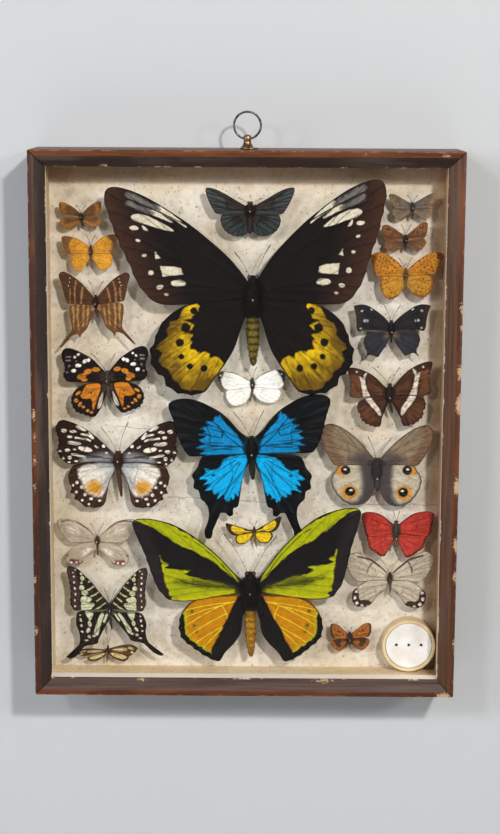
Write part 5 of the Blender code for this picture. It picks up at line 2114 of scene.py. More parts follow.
INSECTS = (
    Insect("brown_skipper", (-116.8, 148.1), 9, 1, Body(1.4, 0.2, -3.6, -8.5, 2.4, 1.8, 1),
           -1.6, ((4.2, 7.0), (-2.6, 7.2)),
           wing(Part.FORE, ((4, 14.5, 8), (7, 12, 0.3)), 0.3, """
2,0.5 5,4.5 9,7.5 13,9.3 15,8.5 15,5.5 14,2 12.5,0 8,-1 2,-2
/ 1 streak 3,2 10,9 12.4,5 12,1; spot 12.6,8,4,4"""),
           wing(Part.HIND, ((3, 14, -4.2), (6, 5, -9)), 0.3, """
2,-2 8,-1 13,-1.5 15,-3.5 14,-7 10.5,-9 6,-8 3,-5
/ 1 rim 2.6,0.1,0.9"""),
           WingFinish("6c4a2c", "54371f", (Tone("a06c2e", "8a5824", 1.2, 1.4),), rim="7a5430",
                      rim_width=0.3, vein="4a2f1a", vein_show=0.4, root="3c2a1e", root_width=4),
           WingFinish("74502e", "5a3c22", (Tone("9c6a30", "865826", 1.2, 1.4),), rim="7a5430",
                      rim_width=0.3, vein="4a2f1a", vein_show=0.4, root="46321f", root_width=4),
           FurFinish("2a221e", "3c2a1e", "20160f")),
    Insect("orange_tip_white", (-110.0, 122.0), 10, 0.5, Body(5, 3.8, -2.6, -8, 2.6, 1.9, 1),
           0.4, ((4.0, 12.0), (-2.5, 12.5)),
           wing(Part.FORE, ((4, 19.5, 10.6), (7, 15.5, -1.5)), 0.3, """
2,3 5,7.5 9,10.5 15,12.5 19,12 19.5,8 18.5,3 16,-1 8,-1 2,-1
/ 1 area 12,13 15,6 14,-2 21,-2 22,14"""),
           wing(Part.HIND, ((3, 13.5, -6.5), (6, 6, -13.6)), 0.5, """
2,-1 10,-1 15.5,-2 16,-6 15,-10 11,-12.5 7.5,-13 4,-8 2.5,-4"""),
           WingFinish("cf9230", "b87c20", (Tone("7c5434", "5e3c24", 0.9, 1.8),), rim="8a5c30",
                      rim_width=0.3, vein="a06c24", vein_show=0.3, root="8a6a40", root_width=3),
           WingFinish("d69a34", "bf8424", outer="b87c2a", outer_width=1.2, rim="a8742c", rim_width=0.25,
                      vein="a06c24", vein_show=0.3, root="94743c", root_width=4),
           FurFinish("5a3a20", "7a5228", "4a2c18")),
    Insect("tan_striped_daggerwing", (-106.6, 86.9), 12, 0.5, Body(5.2, 3.6, -4, -11.5, 3.4, 2.2, 1.5),
           -0.8, ((6, 15), (-4.5, 15.5)),
           wing(Part.FORE, ((5, 24.6, 20.5), (10, 19, -1)), 0.3, """
2,3 6,9 11,14.5 16,18.5 21,21 24,20.5 24.8,18 23.5,13 22.5,8 21.5,4 20,1 14,0 2,-2
/ 1 streak 1.2,1 8.6,10 10,5 10.8,0; streak 1.2,1.1 13,14.5 14.6,8 15,0; streak 1.1,0.8 17.5,10 18.2,4
18.4,0
/ 2 spot 17,16.6,0.9 17.6,14.2,1 18.5,12,0.7"""),
           wing(Part.HIND, ((8, 25, -32.4), (2, 17.2, -2.5)), 0, """
2,-1.5 12,-0.5 19,-1 20.2,-5 19.5,-12 19,-17 21,-20.5 25,-25 28.5,-29.6 26.5,-28.9 22,-24.6 19,-22
15,-21.3 13.5,-24 12.5,-22 11,-20.5 8,-18 5,-12 2.5,-5
/ 1 streak 1.3,1.2 9.5,-1 10,-8 10.5,-16; streak 1.5,1.2 13.5,-1 14.4,-9 14,-18; streak 1.4,1 17.4,-1.5
17.2,-9 17.6,-17; streak 1,0.8 6.2,-3 6.8,-9 8,-15"""),
           WingFinish("54341f", "3c2416", (Tone("a07850", "86603c", 0.5, 0.9), Tone("dcd2c4")),
                      rim="4a2c1a", rim_width=0.4, vein="3a2215", vein_show=0.5, outer="4c3020",
                      outer_width=4),
           WingFinish("6e4a2a", "563820", (Tone("ae8654", "94703f", 0.5, 0.9),), rim="54341e",
                      rim_width=0.3, vein="4a2f1c", vein_show=0.5, root="a88a60", root_width=4),
           FurFinish("2a1812", "3a241a", "1c100c")),
    Insect("white_spotted_lady", (-100.5, 31.9), 11, 2, Body(6.2, 4.6, -4.6, -17, 4, 2.8, 2),
           -0.5, ((8, 19), (-9.5, 19)),
           wing(Part.FORE, ((6, 30, 19.5), (12, 25, -2)), 0.6, """
4,5 7,10 11,15 17,19.5 23,23 28,24 31,21.5 31.5,17 30,12 30,8 31,5 30,2 27,-0.5 16,-1.5 4,-2
/ 1 spot 13.6,14.6,2.2,3,30 16.3,13.8,2.4,3.6,40 20.6,11,4.2,2.6,5 23.8,7.3,3.2,2.8 20.2,19,2,1.8
22.6,17.2,1.8
/ 2 streak 1,0.6 25.6,17.6 28.4,17.6; streak 0.9,0.6 25.8,15 28.6,15; spot 21.8,14.2,0.9 26.5,11,1.4
28,6.5,1.3
/ 3 spot 9.2,7.4,5.4,3.2,10 14.6,6.2,5.2,3.4,-20 18.6,3,6.2,4,-15 17,0.4,4,2.5"""),
           wing(Part.HIND, ((4, 24.2, -14.5), (9, 12, -27)), 0.9, """
4,-2 14,-1.5 22,-3.5 26,-6.5 28.5,-11 28.3,-15 27,-18 25,-20.5 21,-22 17,-23.5 13,-24.5 10,-22 7,-18 4,-9
/ 1 area 7,-3.5 15,-2.2 18,-4 21.5,-9.8 18,-11.8 14,-12.4 13.5,-17 12.6,-19.5 10,-13
/ 2 spot 23,-7.6,4.4,2.2,-35 24.6,-12.2,3,3 22,-15,2,3.4,40 19.7,-17,2.4,1.8 17,-19.6,2.4,1.9
14.4,-21,2.4,1.6
/ 3 area 5.5,-9 7.5,-11 10,-18 9,-19 7,-17
/ 4 spot 13.8,-8.2,1.5 15,-16,2.4,3"""),
           WingFinish("1c1211", "120c0d", (Tone("e8e0d4"), Tone("8a7f7c", "", 0.5), Tone("c88028", "a8641a",
                      0.35)), root="3a2c24", root_width=6, vein="0e0909", rim="0e0909"),
           WingFinish("1e1310", "140d0c", (Tone("c67c22", "ac6418", 0.35, 0.5), Tone("c88a3c", "b07028"),
                      Tone("c9bdb2", "b3a396", 0.5), Tone("1c100e")), root="4a3c30", root_width=5,
                      vein="1a100c"),
           FurFinish("4a4036", "4c4034", "2e251e")),
    Insect("great_crow_nymph", (-91.8, -26.3), 10, 0.5, Body(6, 4.6, -6, -28, 6.4, 3.6, 2.2),
           -0.5, ((8, 27.5), (-11.5, 23.5)),
           wing(Part.FORE, ((7, 43, 26), (14, 35.5, -3.2)), 0.8, """
4,3 7,8 13,14 20,20 28,25 36,28 40,28 43,25.5 44.5,21 43,16 42.5,11 43.5,6 42,1.5 40,-1 36,-4 32,-4
20,-2.5 4,-3
/ 1 spot 26,22.5,8,2.8,25 31.5,20,5,2 38,20.5,4,2.4 34,16,3.6,2; streak 1.2,1 17.6,15.5 20.6,19.5; streak
1.8,1.4 18,15.2 22,17.4 26,18; streak 1.6,1.4 20,13.4 25,14.8 30,15.4; spot 31,11.3,10,2.8,8
23.5,7,10,3.8,12 31,6.5,2.6,1.4 36,6,4,2.6 41,5.5,2.8,1.8; streak 2.2,1.6 24,1 29,2.4 33,3; spot
34.5,0.5,3 39,0,2 10.5,9.5,2.5 15.5,9,3.4,1.8,40 8.5,4.5,2.2,1.4 35,-3,2,1.4 30,-2,3,1.4
/ 2 streak 5,5 1,0 9,1 16,0 24,-2"""),
           wing(Part.HIND, ((5, 35.5, -15), (13, 13, -35.6)), 0.9, """
4,-3 20,-2 31,-3.5 35,-6 37.2,-10 37.7,-15 36,-20 36,-25 33,-26.5 33,-30 29,-31.5 26.5,-34.5 21,-35.6
14,-35.6 10,-32 8.5,-25 6.5,-16 3,-8
/ 1 area 3,-5 12,-4 22,-4 29,-7 30,-12 26,-20 20,-26 12,-27 9,-22 5,-12
/ 5 spot 29,-11,2.5 31,-17,2.4 34,-19,2 27.5,-20.5,2.4 31.5,-24,2 25,-26,2.4 20.5,-29,2.6,2 27,-30,2
14,-30.5,2.4,1.8 22,-33,2
/ 2 streak 6,5 2,-4 8,-5 13,-4; streak 5,3 4,-6 8,-12 10.6,-21
/ 3 area 13,-19 17,-15.6 23,-17 24.6,-21 19,-25.6 14,-25
/ 4 area 1,-6 5,-12 9,-22 12,-28 9,-34 0,-30"""),
           WingFinish("301c15", "1f120d", (Tone("dfd8ca", "cfc4b4"), Tone("7e858a", "8c8a88", 4.0, 1.6)),
                      vein="1c110d", vein_width=0.6, vein_show=0.75, rim="1c110d"),
           WingFinish("3a231a", "241510", (Tone("dcd8ce", "cbc4b8", 1.6, 2.2), Tone("7a858c", "9a9c9c", 4.0,
                      1.8), Tone("cc9630", "b87c1c", 2.6, 2.0), Tone("4c3226", "3a2219", 1.2, 0.8),
                      Tone("ded6ca", "cfc4b4")), vein="6a5a4c", vein_width=0.4, vein_show=0.4),
           FurFinish("4c3226", "4a3024", "281912")),
    Insect("rose_glasswing", (-107.2, -86.5), 8, 0.3, Body(3.4, 2.4, -3.2, -11.5, 3, 1.5, 0.2),
           0, ((5, 13), (-4.5, 13)),
           wing(Part.FORE, ((6, 28.5, 14), (10, 18, -1.5)), 0.1, """
1.5,2 5,6 9,10 14,13.7 20,15.5 26,16 28.8,14 28,10 25.5,4.5 22,1 18,-1.5 10,-1.7 1.5,-1.5
/ 1 streak 0.9,1.2 2,4 12,11.6 20,14.6 26,14
/ 2 spot 17,8,9,6,20"""),
           wing(Part.HIND, ((5, 23, -15), (7, 15, -18.5)), 0.3, """
1.5,-1.5 10,-2.2 16,-4.6 20.5,-8 23,-11.5 23,-15.5 20.5,-18.5 15,-19 11,-17.5 8,-13 4,-7
/ 1 spot 21.7,-11.5,1.6 20,-18.4,1.6
/ 2 spot 15.5,-16.4,10,4,12
/ 3 spot 15,-17,1.7 18.6,-17.3,1.8 12.4,-16.4,1.2
/ 4 spot 8,-9,8,5,-40"""),
           WingFinish("cdc2af", "b9ab95", (Tone("6e5442", "", 0.5, 0.6), Tone("dcd4c6", "c8bca8", 3, 1)),
                      vein="8a7460", vein_width=0.3, rim="6a4e3c", rim_width=0.45, clear=0.6, worn=0.12),
           WingFinish("c9bda9", "b4a58e", (Tone("5a4034", "44302a", 0.5, 0.6), Tone("5c2a30", "6e3440", 1.0,
                      1.2), Tone("e6ddd4"), Tone("d8cfc0", "", 3, 1)), vein="8a7460", vein_width=0.3,
                      rim="6e5240", rim_width=0.45, clear=0.55, worn=0.12),
           FurFinish("5c3c2a", "5e4432", "3c2a20")),
    Insect("green_spotted_swordtail", (-99.4, -135.5), 12, 1.5, Body(2.8, 1.8, -5, -17.5, 3, 2.1, 1.2),
           -1.2, ((6, 14), (-2.5, 14)),
           wing(Part.FORE, ((6, 29.4, 29), (12, 24, -2.2)), 0.5, """
4,3 7,9.5 12,17 17,23 22,28 27,30 29,28 29,24 28,18 27.5,10 28,4 27,0 25,-2.5 21,-2.6 12,-2 3,-1.5
/ 1 spot 19.5,24.5,2,2.2 19,21,2.8,3.4 19.6,17.8,1.4,2 19.6,14.2,3.4,3.4 17.8,10.4,4.4,3.8; area 13.4,6
18,8 20.6,6.4 20.4,3.4 16,3.2; area 12,2.6 19.8,3.2 20.6,-1 20.4,-3.4 16,-3 13,-0.4
/ 2 streak 1,1.4 10.2,16.4 14,13.4 15.8,12.4; streak 0.8,1.2 7.8,11.8 11,9.2 13.6,8; streak 0.7,1 6,7.6
10,4.4; streak 0.7,1.4 4,3.4 9,-0.6 13,-3; spot 14.6,18.6,2,1.6 16.6,22,1.4
/ 3 spot 23.4,27.2,1,1.6 25,25.2,1.2 24.6,22.2,1.3,1.8 24.6,18,1.2,1.6 24.2,13.6,1,2 24,9.2,1.1,2.2
24.6,4.8,1.1,1.8 24.6,0.6,1.2,1.5"""),
           wing(Part.HIND, ((10, 30.5, -37), (3, 22, -4)), 0, """
3,-2 12,-4 20,-3.5 25,-5 27,-9 28,-13 27.4,-18 28.5,-24 33,-31 37,-33.6 40.5,-34.6 38,-36 33,-33.6 27,-28
24,-26.5 17,-25 15,-22 12,-18 8,-13 3.5,-6
/ 1 area 14,-3.6 19.4,-3.6 18.6,-9 17,-9.4; spot 18.6,-12,2.6,4,15; streak 2,3 8,-5 12,-11 15.6,-18;
streak 1,1.6 5,-5 8,-10
/ 2 spot 20.6,-16.4,2,4,40 17.6,-19.8,2.6,1.6 21,-20.6,2.4,2 24,-10,1.6,2.6 24.6,-13.6,1.4,2,40
25,-17.6,1.6,1.2 23.6,-23,3,1 23.6,-6.6,1.2,1"""),
           WingFinish("2a1e17", "1c130f", (Tone("c4c6a6", "b4b690"), Tone("b5b684", "a3a372"),
                      Tone("ddd2cc")), vein="1a120e", outer="3e2c26", outer_width=6),
           WingFinish("231812", "19110d", (Tone("c0c4a4", "b0b48e"), Tone("d2c6b4", "bfae9a")),
                      vein="1a120e", root="6a5844", root_width=4),
           FurFinish("2e2824", "2c2420", "181210")),
    Insect("cream_striped_longwing", (-100.7, -170.7), 8, 0.6, Body(5, 3.4, -0.6, -8, 2.2, 1.2, -1),
           1.6, ((2.8, 11.5), (0.2, 11.5)),
           wing(Part.FORE, ((4, 22, 1), (7, 16, -3)), 0, """
1.5,2.6 7,4.6 13,6 18,6 22,4.2 22,2 19,-1 16,-2.5 11,-1 5,0.5 1.5,0.5
/ 1 area 4,2.2 9,3.4 14,3.4 14.4,1.6 10,0.8 5,1.2; spot 17.6,3.2,4.4,2,-20 18.6,0.4,2.2,1.8"""),
           wing(Part.HIND, ((3, 14, -4), (5, 10.5, -7)), 0, """
1.5,1 6,0 11,-1.2 15.5,-2.4 15.5,-5 12.5,-6.8 8,-6 4,-4 1.5,-1
/ 1 area 3,-0.5 9,-1 14.4,-3.4 12,-5 8,-4.4 4,-2.6"""),
           WingFinish("5a4024", "452c16", (Tone("dcc89a", "cdb684"),), vein="402a14", vein_width=0.4,
                      rim="48301a"),
           WingFinish("5e4426", "482e16", (Tone("dcc690", "cfb67e"),), vein="4a3418", rim="48301a"),
           FurFinish("33281c", "5a4a2c", "2c2014")),
    Insect("golden_birdwing", (4.6, 96.4), 15.5, 0, Body(10.5, 7, -19, -54, 12, 9, 0.6),
           -6.5, ((12, 32), (-13, 27)),
           wing(Part.FORE, ((9, 99, 71.5), (17, 70, -7.6)), 0.8, """
3,6 8,16 15,26 25,37 36,48 48,58 60,67 70,73 80,77 87,77.5 91,74.5 92.5,68 91,57 87.5,41 81,20 77.5,8 73,0
68,-6 61,-9 50,-9.4 28,-8 3,-6
/ 1 streak 1,4.6 40,47.5 47,54 56,60.5; streak 1,3.8 49,51 55,55 61,58.5; area 48.5,44.6 58,46.8 68,50.6
74.5,53.4 75.5,56 72,57.6 65,56 56,51; area 65.5,45.4 68.5,46 69,49.6; spot 74.5,47.6,6,3,8
73,38.5,3.2,2.1,15; facet 59.6,25.4 63,24.6 62.6,30; spot 70,27.5,3,2.1; facet 45.8,13 46.4,17.2 51,18.6
60.4,19.4 59.4,11.8 51,12.2; spot 67,14.8,3.8 49.5,6.4,10,4.8,2 62.2,4,4.4,2.8,-15 58.4,-1.6,2.8,1.6
/ 2 streak 3,4.4 57,61 67,66.6 76,71.6; streak 2.8,4.2 61,58 69,62 76,65.4
/ 3 streak 0.9,0.9 40,49 58,59.5 80,70.5; streak 0.8,0.8 60,55 70,59 80,62.5"""),
           wing(Part.HIND, ((7, 73, -44), (13, 43, -75)), 1.5, """
3,-4 35,-7 46,-10 54,-14 60,-19 65,-25 69,-35 72,-43 70,-54 67,-58 63,-61 61,-66 54,-72 42,-74.3 33,-72
27,-64 18,-51 12,-40 7,-24 3,-12
/ 1 facet 37,-11 38.6,-9 46,-10 49,-14 51,-19 52,-20.4 57,-22.5 59.5,-28 58,-31 64,-36.5 67,-40.4 62,-43
65,-49 62.5,-53 57,-57 55.5,-62 51,-65 49,-69.5 44,-71 38,-70.4 31,-70.6 27,-66 23,-60 19.6,-52 22,-48.4
26,-46.4 29,-48.4 30,-44.6 34,-43 38,-44.4 39.4,-41.6 43.6,-41 42,-36.4 44,-34 41.6,-31 48,-30 42,-27
40,-24.6 42.6,-22.6 48,-20.6 43,-19.6 41,-17 39,-14.6
/ 2 spot 41,-14,5.2 46.4,-26,6.6 50.5,-36.4,6 49.4,-46.4,4.2 43.4,-53.4,4.6 33.4,-55,5"""),
           WingFinish("130d0d", "090607", (Tone("cbc4b0", "b5ac96", 0.35, 0.5), Tone("6f6b69", "4c4744",
                      1.3, 1.5), Tone("140e0e")), vein="080505", vein_width=0.5, outer="44291b",
                      outer_width=5, outer_soft=26, rim="1c1210"),
           WingFinish("120d0c", "090606", (Tone("d6b010", "5c440c", 0.5, 1.3, 34), Tone("120c09", "", 0.45,
                      0.4)), vein="161006", vein_width=0.5, vein_show=0.55, rim="0c0807", rim_width=1.2),
           FurFinish("17110f", "6e6016", "2c1d0a", 5.2, 0.75)),
    Insect("slate_day_moth", (2.3, 151.3), 10, 0, Body(6.6, 5, -4, -16, 6, 4.6, 0),
           0, ((9, 9), (-8.5, 9.5)),
           wing(Part.FORE, ((5, 31, 15.6), (9, 23, -2)), 0.2, """
3,3 9,6.5 15,10.5 22,14.5 28,16.5 31,16 30.5,12 28,6 25,1 22,-2 13,-2 3,-2
/ 1 streak 2,7 2,1 8,3 14,5"""),
           wing(Part.HIND, ((4, 20, -10), (7, 7, -18)), 0.3, """
3,-1.5 12,-2 18,-1.5 21.5,-5 21,-10 18,-14.5 13,-17 8,-17.5 4,-16 1.5,-13 1.5,-5
/ 1 streak 2,6 2,-6 10,-6"""),
           WingFinish("4a5151", "212626", (Tone("1d1815", "2c221c", 3, 1.6),), vein="0d1011",
                      vein_width=0.7, vein_show=0.85, rim="33261d", rim_width=0.8, gloss=0.5),
           WingFinish("3c4444", "1a1e1e", (Tone("1c1714", "2a211b", 2.5, 1.6),), vein="0c0f10",
                      vein_width=0.6, vein_show=0.85, rim="2b211b", rim_width=0.7, gloss=0.5),
           FurFinish("2e1c15", "2a1c17", "150f0e", 2.2, 0.5, "7c3c1c")),
    Insect("brown_tipped_white", (4.3, 26.6), 5.5, 0.3, Body(6, 4.6, -2, -12, 3.2, 1.8, -1.8),
           1.8, ((3.4, 14), (-4.8, 13)),
           wing(Part.FORE, ((5, 25, 8.4), (8, 18, -2.6)), 0, """
2,4 6,8 10,10.5 15,11.7 20,12 23.5,10 24,6 22.5,1.5 20,-1.5 11,-1.5 2,-0.5
/ 1 area 16.6,13.5 19,9.6 21.6,6 22.4,2.4 27,4 26,13.5; streak 1,1 2,4.6 8,9.2 16,12.4
/ 2 spot 21,9,1.4,0.9,30"""),
           wing(Part.HIND, ((3, 18.5, -6), (6, 9, -14)), 0, """
2,0 12,-1.5 19,-2 20.5,-5 19,-9 15,-12 10,-12 5,-10 2,-5"""),
           WingFinish("f2f2ee", "e6e6e0", (Tone("3c2c22", "2a1c15", 0.6, 0.8), Tone("d8d0c4")),
                      vein="c9c5ba", vein_show=0.2, rim="8a7c6c", rim_width=0.25, worn=0.06),
           WingFinish("f0f0ea", "e4e3dc", vein="c8c3b6", vein_show=0.2, rim="c4bdb0", rim_width=0.25,
                      worn=0.06),
           FurFinish("4a4440", "6a6258", "3a332c")),
    Insect("blue_swallowtail", (3.9, -23.1), 12, 0.5, Body(14.8, 12, -3, -17.5, 7.4, 4.6, 0.8),
           2, ((9, 33.5), (-13, 32.5)),
           wing(Part.FORE, ((9, 58.8, 37.5), (15, 45, 1)), 0.4, """
4,13.5 8,19 14,27 20,33.5 27,38.5 34,42.5 41,45 48,45.5 53,44.5 56,42 56,38 54,31 52,22 50,14 48,9 45,4.5
41,3 22,2.5 3,1.5
/ 1 facet 5,4 7,11 12,19 19,27 21,32.4 22.6,29.4 24,31 25.4,27.4 31,27.6 29,24.6 34,23 31,20.6 36.4,18.6
32,17 37.6,14 33,11.6 38.6,9 33,7.4 36.4,4.4 30,3.2 15,2.2 6,1
/ 2 streak 0.8,0.5 6,6 16,15 23,25; streak 0.6,0.4 20,19 27,22 31,24; streak 0.6,0.4 21,15 28,17 35,18.6;
streak 0.6,0.4 20,11 28,12 36,12.6; streak 0.6,0.4 14,6 26,7.4 35,8; spot 20,17,1,4,20
/ 3 streak 1.6,3 40,30 46,33 54,36; streak 1.6,3 40,24 46,26 52,27.6; streak 1.6,3 40,18 46,19 50,19;
streak 1.6,2.6 40,12 46,11.6 48.6,11; streak 1.4,2.4 36,36 44,40 52,42"""),
           wing(Part.HIND, ((5, 42, -13.5), (13, 31.5, -50)), 0, """
3,2 22,1.4 34,0.6 37.5,-3 39.5,-8 43.5,-13.5 42.5,-18 43,-23 39.5,-25.5 38.5,-31 35.5,-34 33.5,-38
33.3,-44 35,-50 37,-55 36,-60 32.5,-60 31,-55 31.5,-47 29,-42.5 22,-41.5 19,-44 16,-43 15.5,-38.5 12,-36.5
10,-28 7.5,-16 3,-3
/ 1 facet 3,1 15,0 21,-3.4 25,-9 29,-10.6 34,-9.6 33,-12.6 38.6,-16.4 33,-17.4 36,-21 31,-20.4 35.6,-25.5
29,-24 28.6,-27.4 25,-26 26,-30.4 22,-28.6 21,-31.6 19,-33.4 17,-30.4 15,-31.4 13.6,-28 11.6,-29.4 10,-25
7,-15
/ 2 spot 28.4,-14,3,1.6,-20; streak 0.6,0.4 10,-4 20,-14 30,-23; streak 0.6,0.4 9,-5 16,-18 21,-29; streak
0.6,0.4 12,-3 24,-10 34,-15
/ 3 streak 1.4,2.6 38,-8 40.4,-12; streak 1.6,2.8 33,-28 37,-31; streak 1.4,2.6 27,-34 30,-40; streak
1.4,2.4 20,-36 22,-41"""),
           WingFinish("0a0a0c", "060607", (Tone("058ac2", "065e94", 0.6, 1.7), Tone("04222e", "", 0.4, 0.3),
                      Tone("1c1e20", "101114", 1.2, 1)), vein="04161e", vein_width=0.5, vein_show=0.8,
                      rim="050606", gloss=0.5, root="04506e", root_width=7),
           WingFinish("08090b", "050607", (Tone("04a8e0", "0486c0", 0.6, 1.7), Tone("041e2a", "", 0.4, 0.3),
                      Tone("1b1d1f", "101114", 1.2, 1)), vein="04202c", vein_width=0.4, rim="050606",
                      gloss=0.5, root="035a78", root_width=6),
           FurFinish("10140e", "121a12", "0a0e0c", 2.4, 0.5)),
    Insect("yellow_window_white", (4.9, -80.1), 7, 1.5, Body(4.2, 3, -2.2, -11.5, 2.4, 1.4, 1.8),
           0.5, ((3.6, 8.5), (-2.4, 8)),
           wing(Part.FORE, ((4, 19, 6.6), (7, 14, -2)), 0, """
3,1.5 8,4.5 13,8 17,10.5 20.5,12 20.5,8 19,4 17,1.5 14,0.2 7,0 2.5,-0.5
/ 1 spot 12.8,5.2,10.4,7.2,38; streak 0.8,1.6 3,0.6 9,2.4"""),
           wing(Part.HIND, ((3, 12, -4), (5, 9, -9)), 0, """
2.5,0 8,1 13,0.5 15,-2 14,-5.5 11,-8 7,-8 4,-6 2.5,-2
/ 1 area 2.6,-0.6 8,0.9 12.6,-0.2 13.8,-3 11.6,-6.8 7,-7.4 3.4,-4.4"""),
           WingFinish("3c2a16", "2a1b10", (Tone("e6c428", "d6b018", 0.4, 0.5),), vein="4a3212",
                      vein_show=0.4, rim="22160e"),
           WingFinish("46300f", "33210f", (Tone("e8c620", "d8b216", 0.4, 0.5),), vein="9a7418",
                      vein_show=0.35, rim="2a1a0f"),
           FurFinish("4c3a1c", "8a6a22", "4a3616")),
    Insect("green_birdwing", (3.3, -119.6), 15.5, 0.5, Body(12.4, 9, -16, -52, 12, 8, 0.9),
           -3, ((19.5, 39.5), (-19, 41)),
           wing(Part.FORE, ((8, 81, 51.5), (16, 58.5, -8)), 0.4, """
6,4 10,12 20,26 30,37.5 40,47 50,54 58,57.6 68,60.4 76,60.5 79.6,57.5 78.6,51 76.3,42 73.5,32.4 70,16 67,5
64,0 60,-5 52,-7.2 42,-7.4 22,-5 6,-3
/ 1 facet 8,5 11,12.4 20.4,25.6 30,36.6 40,46 50,52.8 60,57.6 68,60 76,60.6 78,59.4 72,57 65,53 60,48.4
55,44.4 50,39.6 45,36.4 40,33.6 35,30.4 30,27 25,23.4 20,18 15,12.4; facet 62.6,30.4 61.2,25 57,23
60.6,20.4 55,19 50,17.6 42,17 47,14.6 42,12 35,9.4 28,8 20,4.6 14,1 8,-2 9,-4.4 20,-5.6 36,-6.8 46,-8
54,-7 58,-5.4 57,-3 59,-1 59.4,3 60.5,9 60.6,14 62,20 62,25
/ 2 streak 0.5,0.5 12,9.6 20,21.6 28,31 36,39.4 44,45
/ 3 area 9,-0.6 20,0 32,2 46,5 54,9 44,9.6 34,9 26,7.6 18,4 11,1
/ 4 streak 2,2.6 10,-4 30,-5.4 50,-6; streak 1,0.6 59,4 60,12 61,22"""),
           wing(Part.HIND, ((5, 51.4, -29), (10, 25, -54.6)), 0.9, """
6,-5 30,-5.5 42,-8.6 49,-15 52.4,-21 53.6,-28 52.6,-35 50,-39 45,-43.5 37,-50 29,-54.3 25,-54 21,-48
14,-41 9,-33 7,-22 4,-12
/ 5 rim 4,0.12,0.92
/ 1 facet 7,-5 20,-4 33,-5.6 42,-8.8 47.6,-14 50.6,-20 51,-26 49,-31 47,-35 43.6,-39.6 37.6,-44.4 31,-49.6
28,-49 23.6,-41 17,-29 9.6,-12; streak 1.2,1.6 5,-13 6.6,-19 8.4,-26
/ 2 rim 5.4,0.1,0.8; streak 1,1.8 11,-16 18,-31 28,-49
/ 3 spot 43,-16.4,3 42,-27,2.6 40.6,-31.6,2.6
/ 4 facet 4,-6 9.6,-5.4 12.6,-11 18.6,-22.6 24.6,-34 30.6,-45 32.6,-50 29.6,-53 26,-57 14,-54 6,-30"""),
           WingFinish("171114", "0b080a", (Tone("a2a806", "868c04", 0.4, 1.5), Tone("10140a", "", 0.4, 0.5),
                      Tone("32360a", "5c600a", 2.2, 2.6), Tone("bcae04", "a8a004", 1.2, 1.2)),
                      vein="1c1c08", vein_show=0.4, rim="090707", rim_width=0.8, outer="1d181b",
                      outer_width=9, outer_soft=3),
           WingFinish("0f0b0a", "090707", (Tone("bc8002", "9a6202", 0.8, 1.4), Tone("949a0a", "a8960a", 1.5,
                      1.4), Tone("56560e", "", 0.7, 0.8), Tone("0f0b0a", "", 0.5, 1.2), Tone("0c0908", "",
                      0.5, 0.9)), vein="e2c828", vein_width=0.7, vein_show=0.85, rim="0b0807",
                      rim_width=1.0, bare=4),
           FurFinish("120d0c", "b07e08", "5e400a", 5.0, 0.35)),
    Insect("grey_hairstreak", (115.5, 154.6), 9, 0.2, Body(3.4, 2.4, -3.4, -7, 2.6, 1.9, 0.3),
           -0.5, ((4, 8.5), (-3, 8.2)),
           wing(Part.FORE, ((4, 16.5, 8.2), (7, 11.4, -1)), 0.2, """
2,2.5 6,5.5 10,8 14,9.7 17,9 16.5,5.5 15,2 13,0 8,-1 2,-1
/ 1 rim 3.4,0,1"""),
           wing(Part.HIND, ((3, 14, -3.6), (5, 9, -8.6)), 0.3, """
2,-1 8,-1 13,-0.5 14.5,-3 13.5,-6.5 10,-8.5 6,-7.5 2.5,-4
/ 1 rim 2.2"""),
           WingFinish("74675a", "5c5248", (Tone("8c7458", "78624a", 1.4, 1.2),), vein="54483c",
                      vein_show=0.5, rim="4e4034", rim_width=0.4, root="4c4e50", root_width=7),
           WingFinish("786a5a", "5e5246", (Tone("8a7256", "766048", 1.2, 1.0),), vein="54483c",
                      vein_show=0.5, rim="5a4a3a", rim_width=0.3, root="50504c", root_width=6),
           FurFinish("38322e", "4c443c", "2b2420")),
    Insect("eyed_ringlet", (111.0, 134.3), 9, 0.4, Body(1.2, 0, -5.2, -8.8, 2.8, 2.1, 0.4),
           -2.6, ((4.4, 8.4), (-3, 8.2)),
           wing(Part.FORE, ((4, 16, 7.2), (7, 13.4, -3)), 0.3, """
2,0.5 5,4 9,7.5 12,9.8 15.5,9.5 16,5.5 15,1 13,-1.5 7,-2 2,-2.5
/ 1 area 7,7 12,10 15.5,9 14.6,3.6 10,3
/ 2 spot 11.5,6.5,2.4
/ 3 spot 11.4,6.9,0.7"""),
           wing(Part.HIND, ((3, 14.5, -6), (5, 10.6, -11.2)), 0.4, """
2,-3 8,-1.5 13,-1.5 15,-4.5 13.5,-8 10.5,-10.5 7,-10 3,-6.5
/ 1 spot 11.5,-6,3.4,3
/ 2 spot 11.6,-6,1.4"""),
           WingFinish("704a30", "583822", (Tone("8c5c38", "7a4e2e", 1.4, 1.0), Tone("2c1c14"),
                      Tone("d8ccc0")), vein="4a2e1c", vein_show=0.5, rim="8a6644", rim_width=0.35,
                      root="4c3628", root_width=5),
           WingFinish("74503a", "5c3e2a", (Tone("86603e", "", 1.2, 0.9), Tone("4a3020", "", 0.5)),
                      vein="4a2e1c", vein_show=0.5, rim="8e6c4c", rim_width=0.4, root="4e3a2e",
                      root_width=6),
           FurFinish("332218", "3e2a1e", "241710")),
    Insect("spotted_orange", (111.4, 107.1), 11, 0.5, Body(5, 3.6, -3.4, -10.5, 3, 2.2, -0.4),
           0, ((5, 13), (-5, 12.5)),
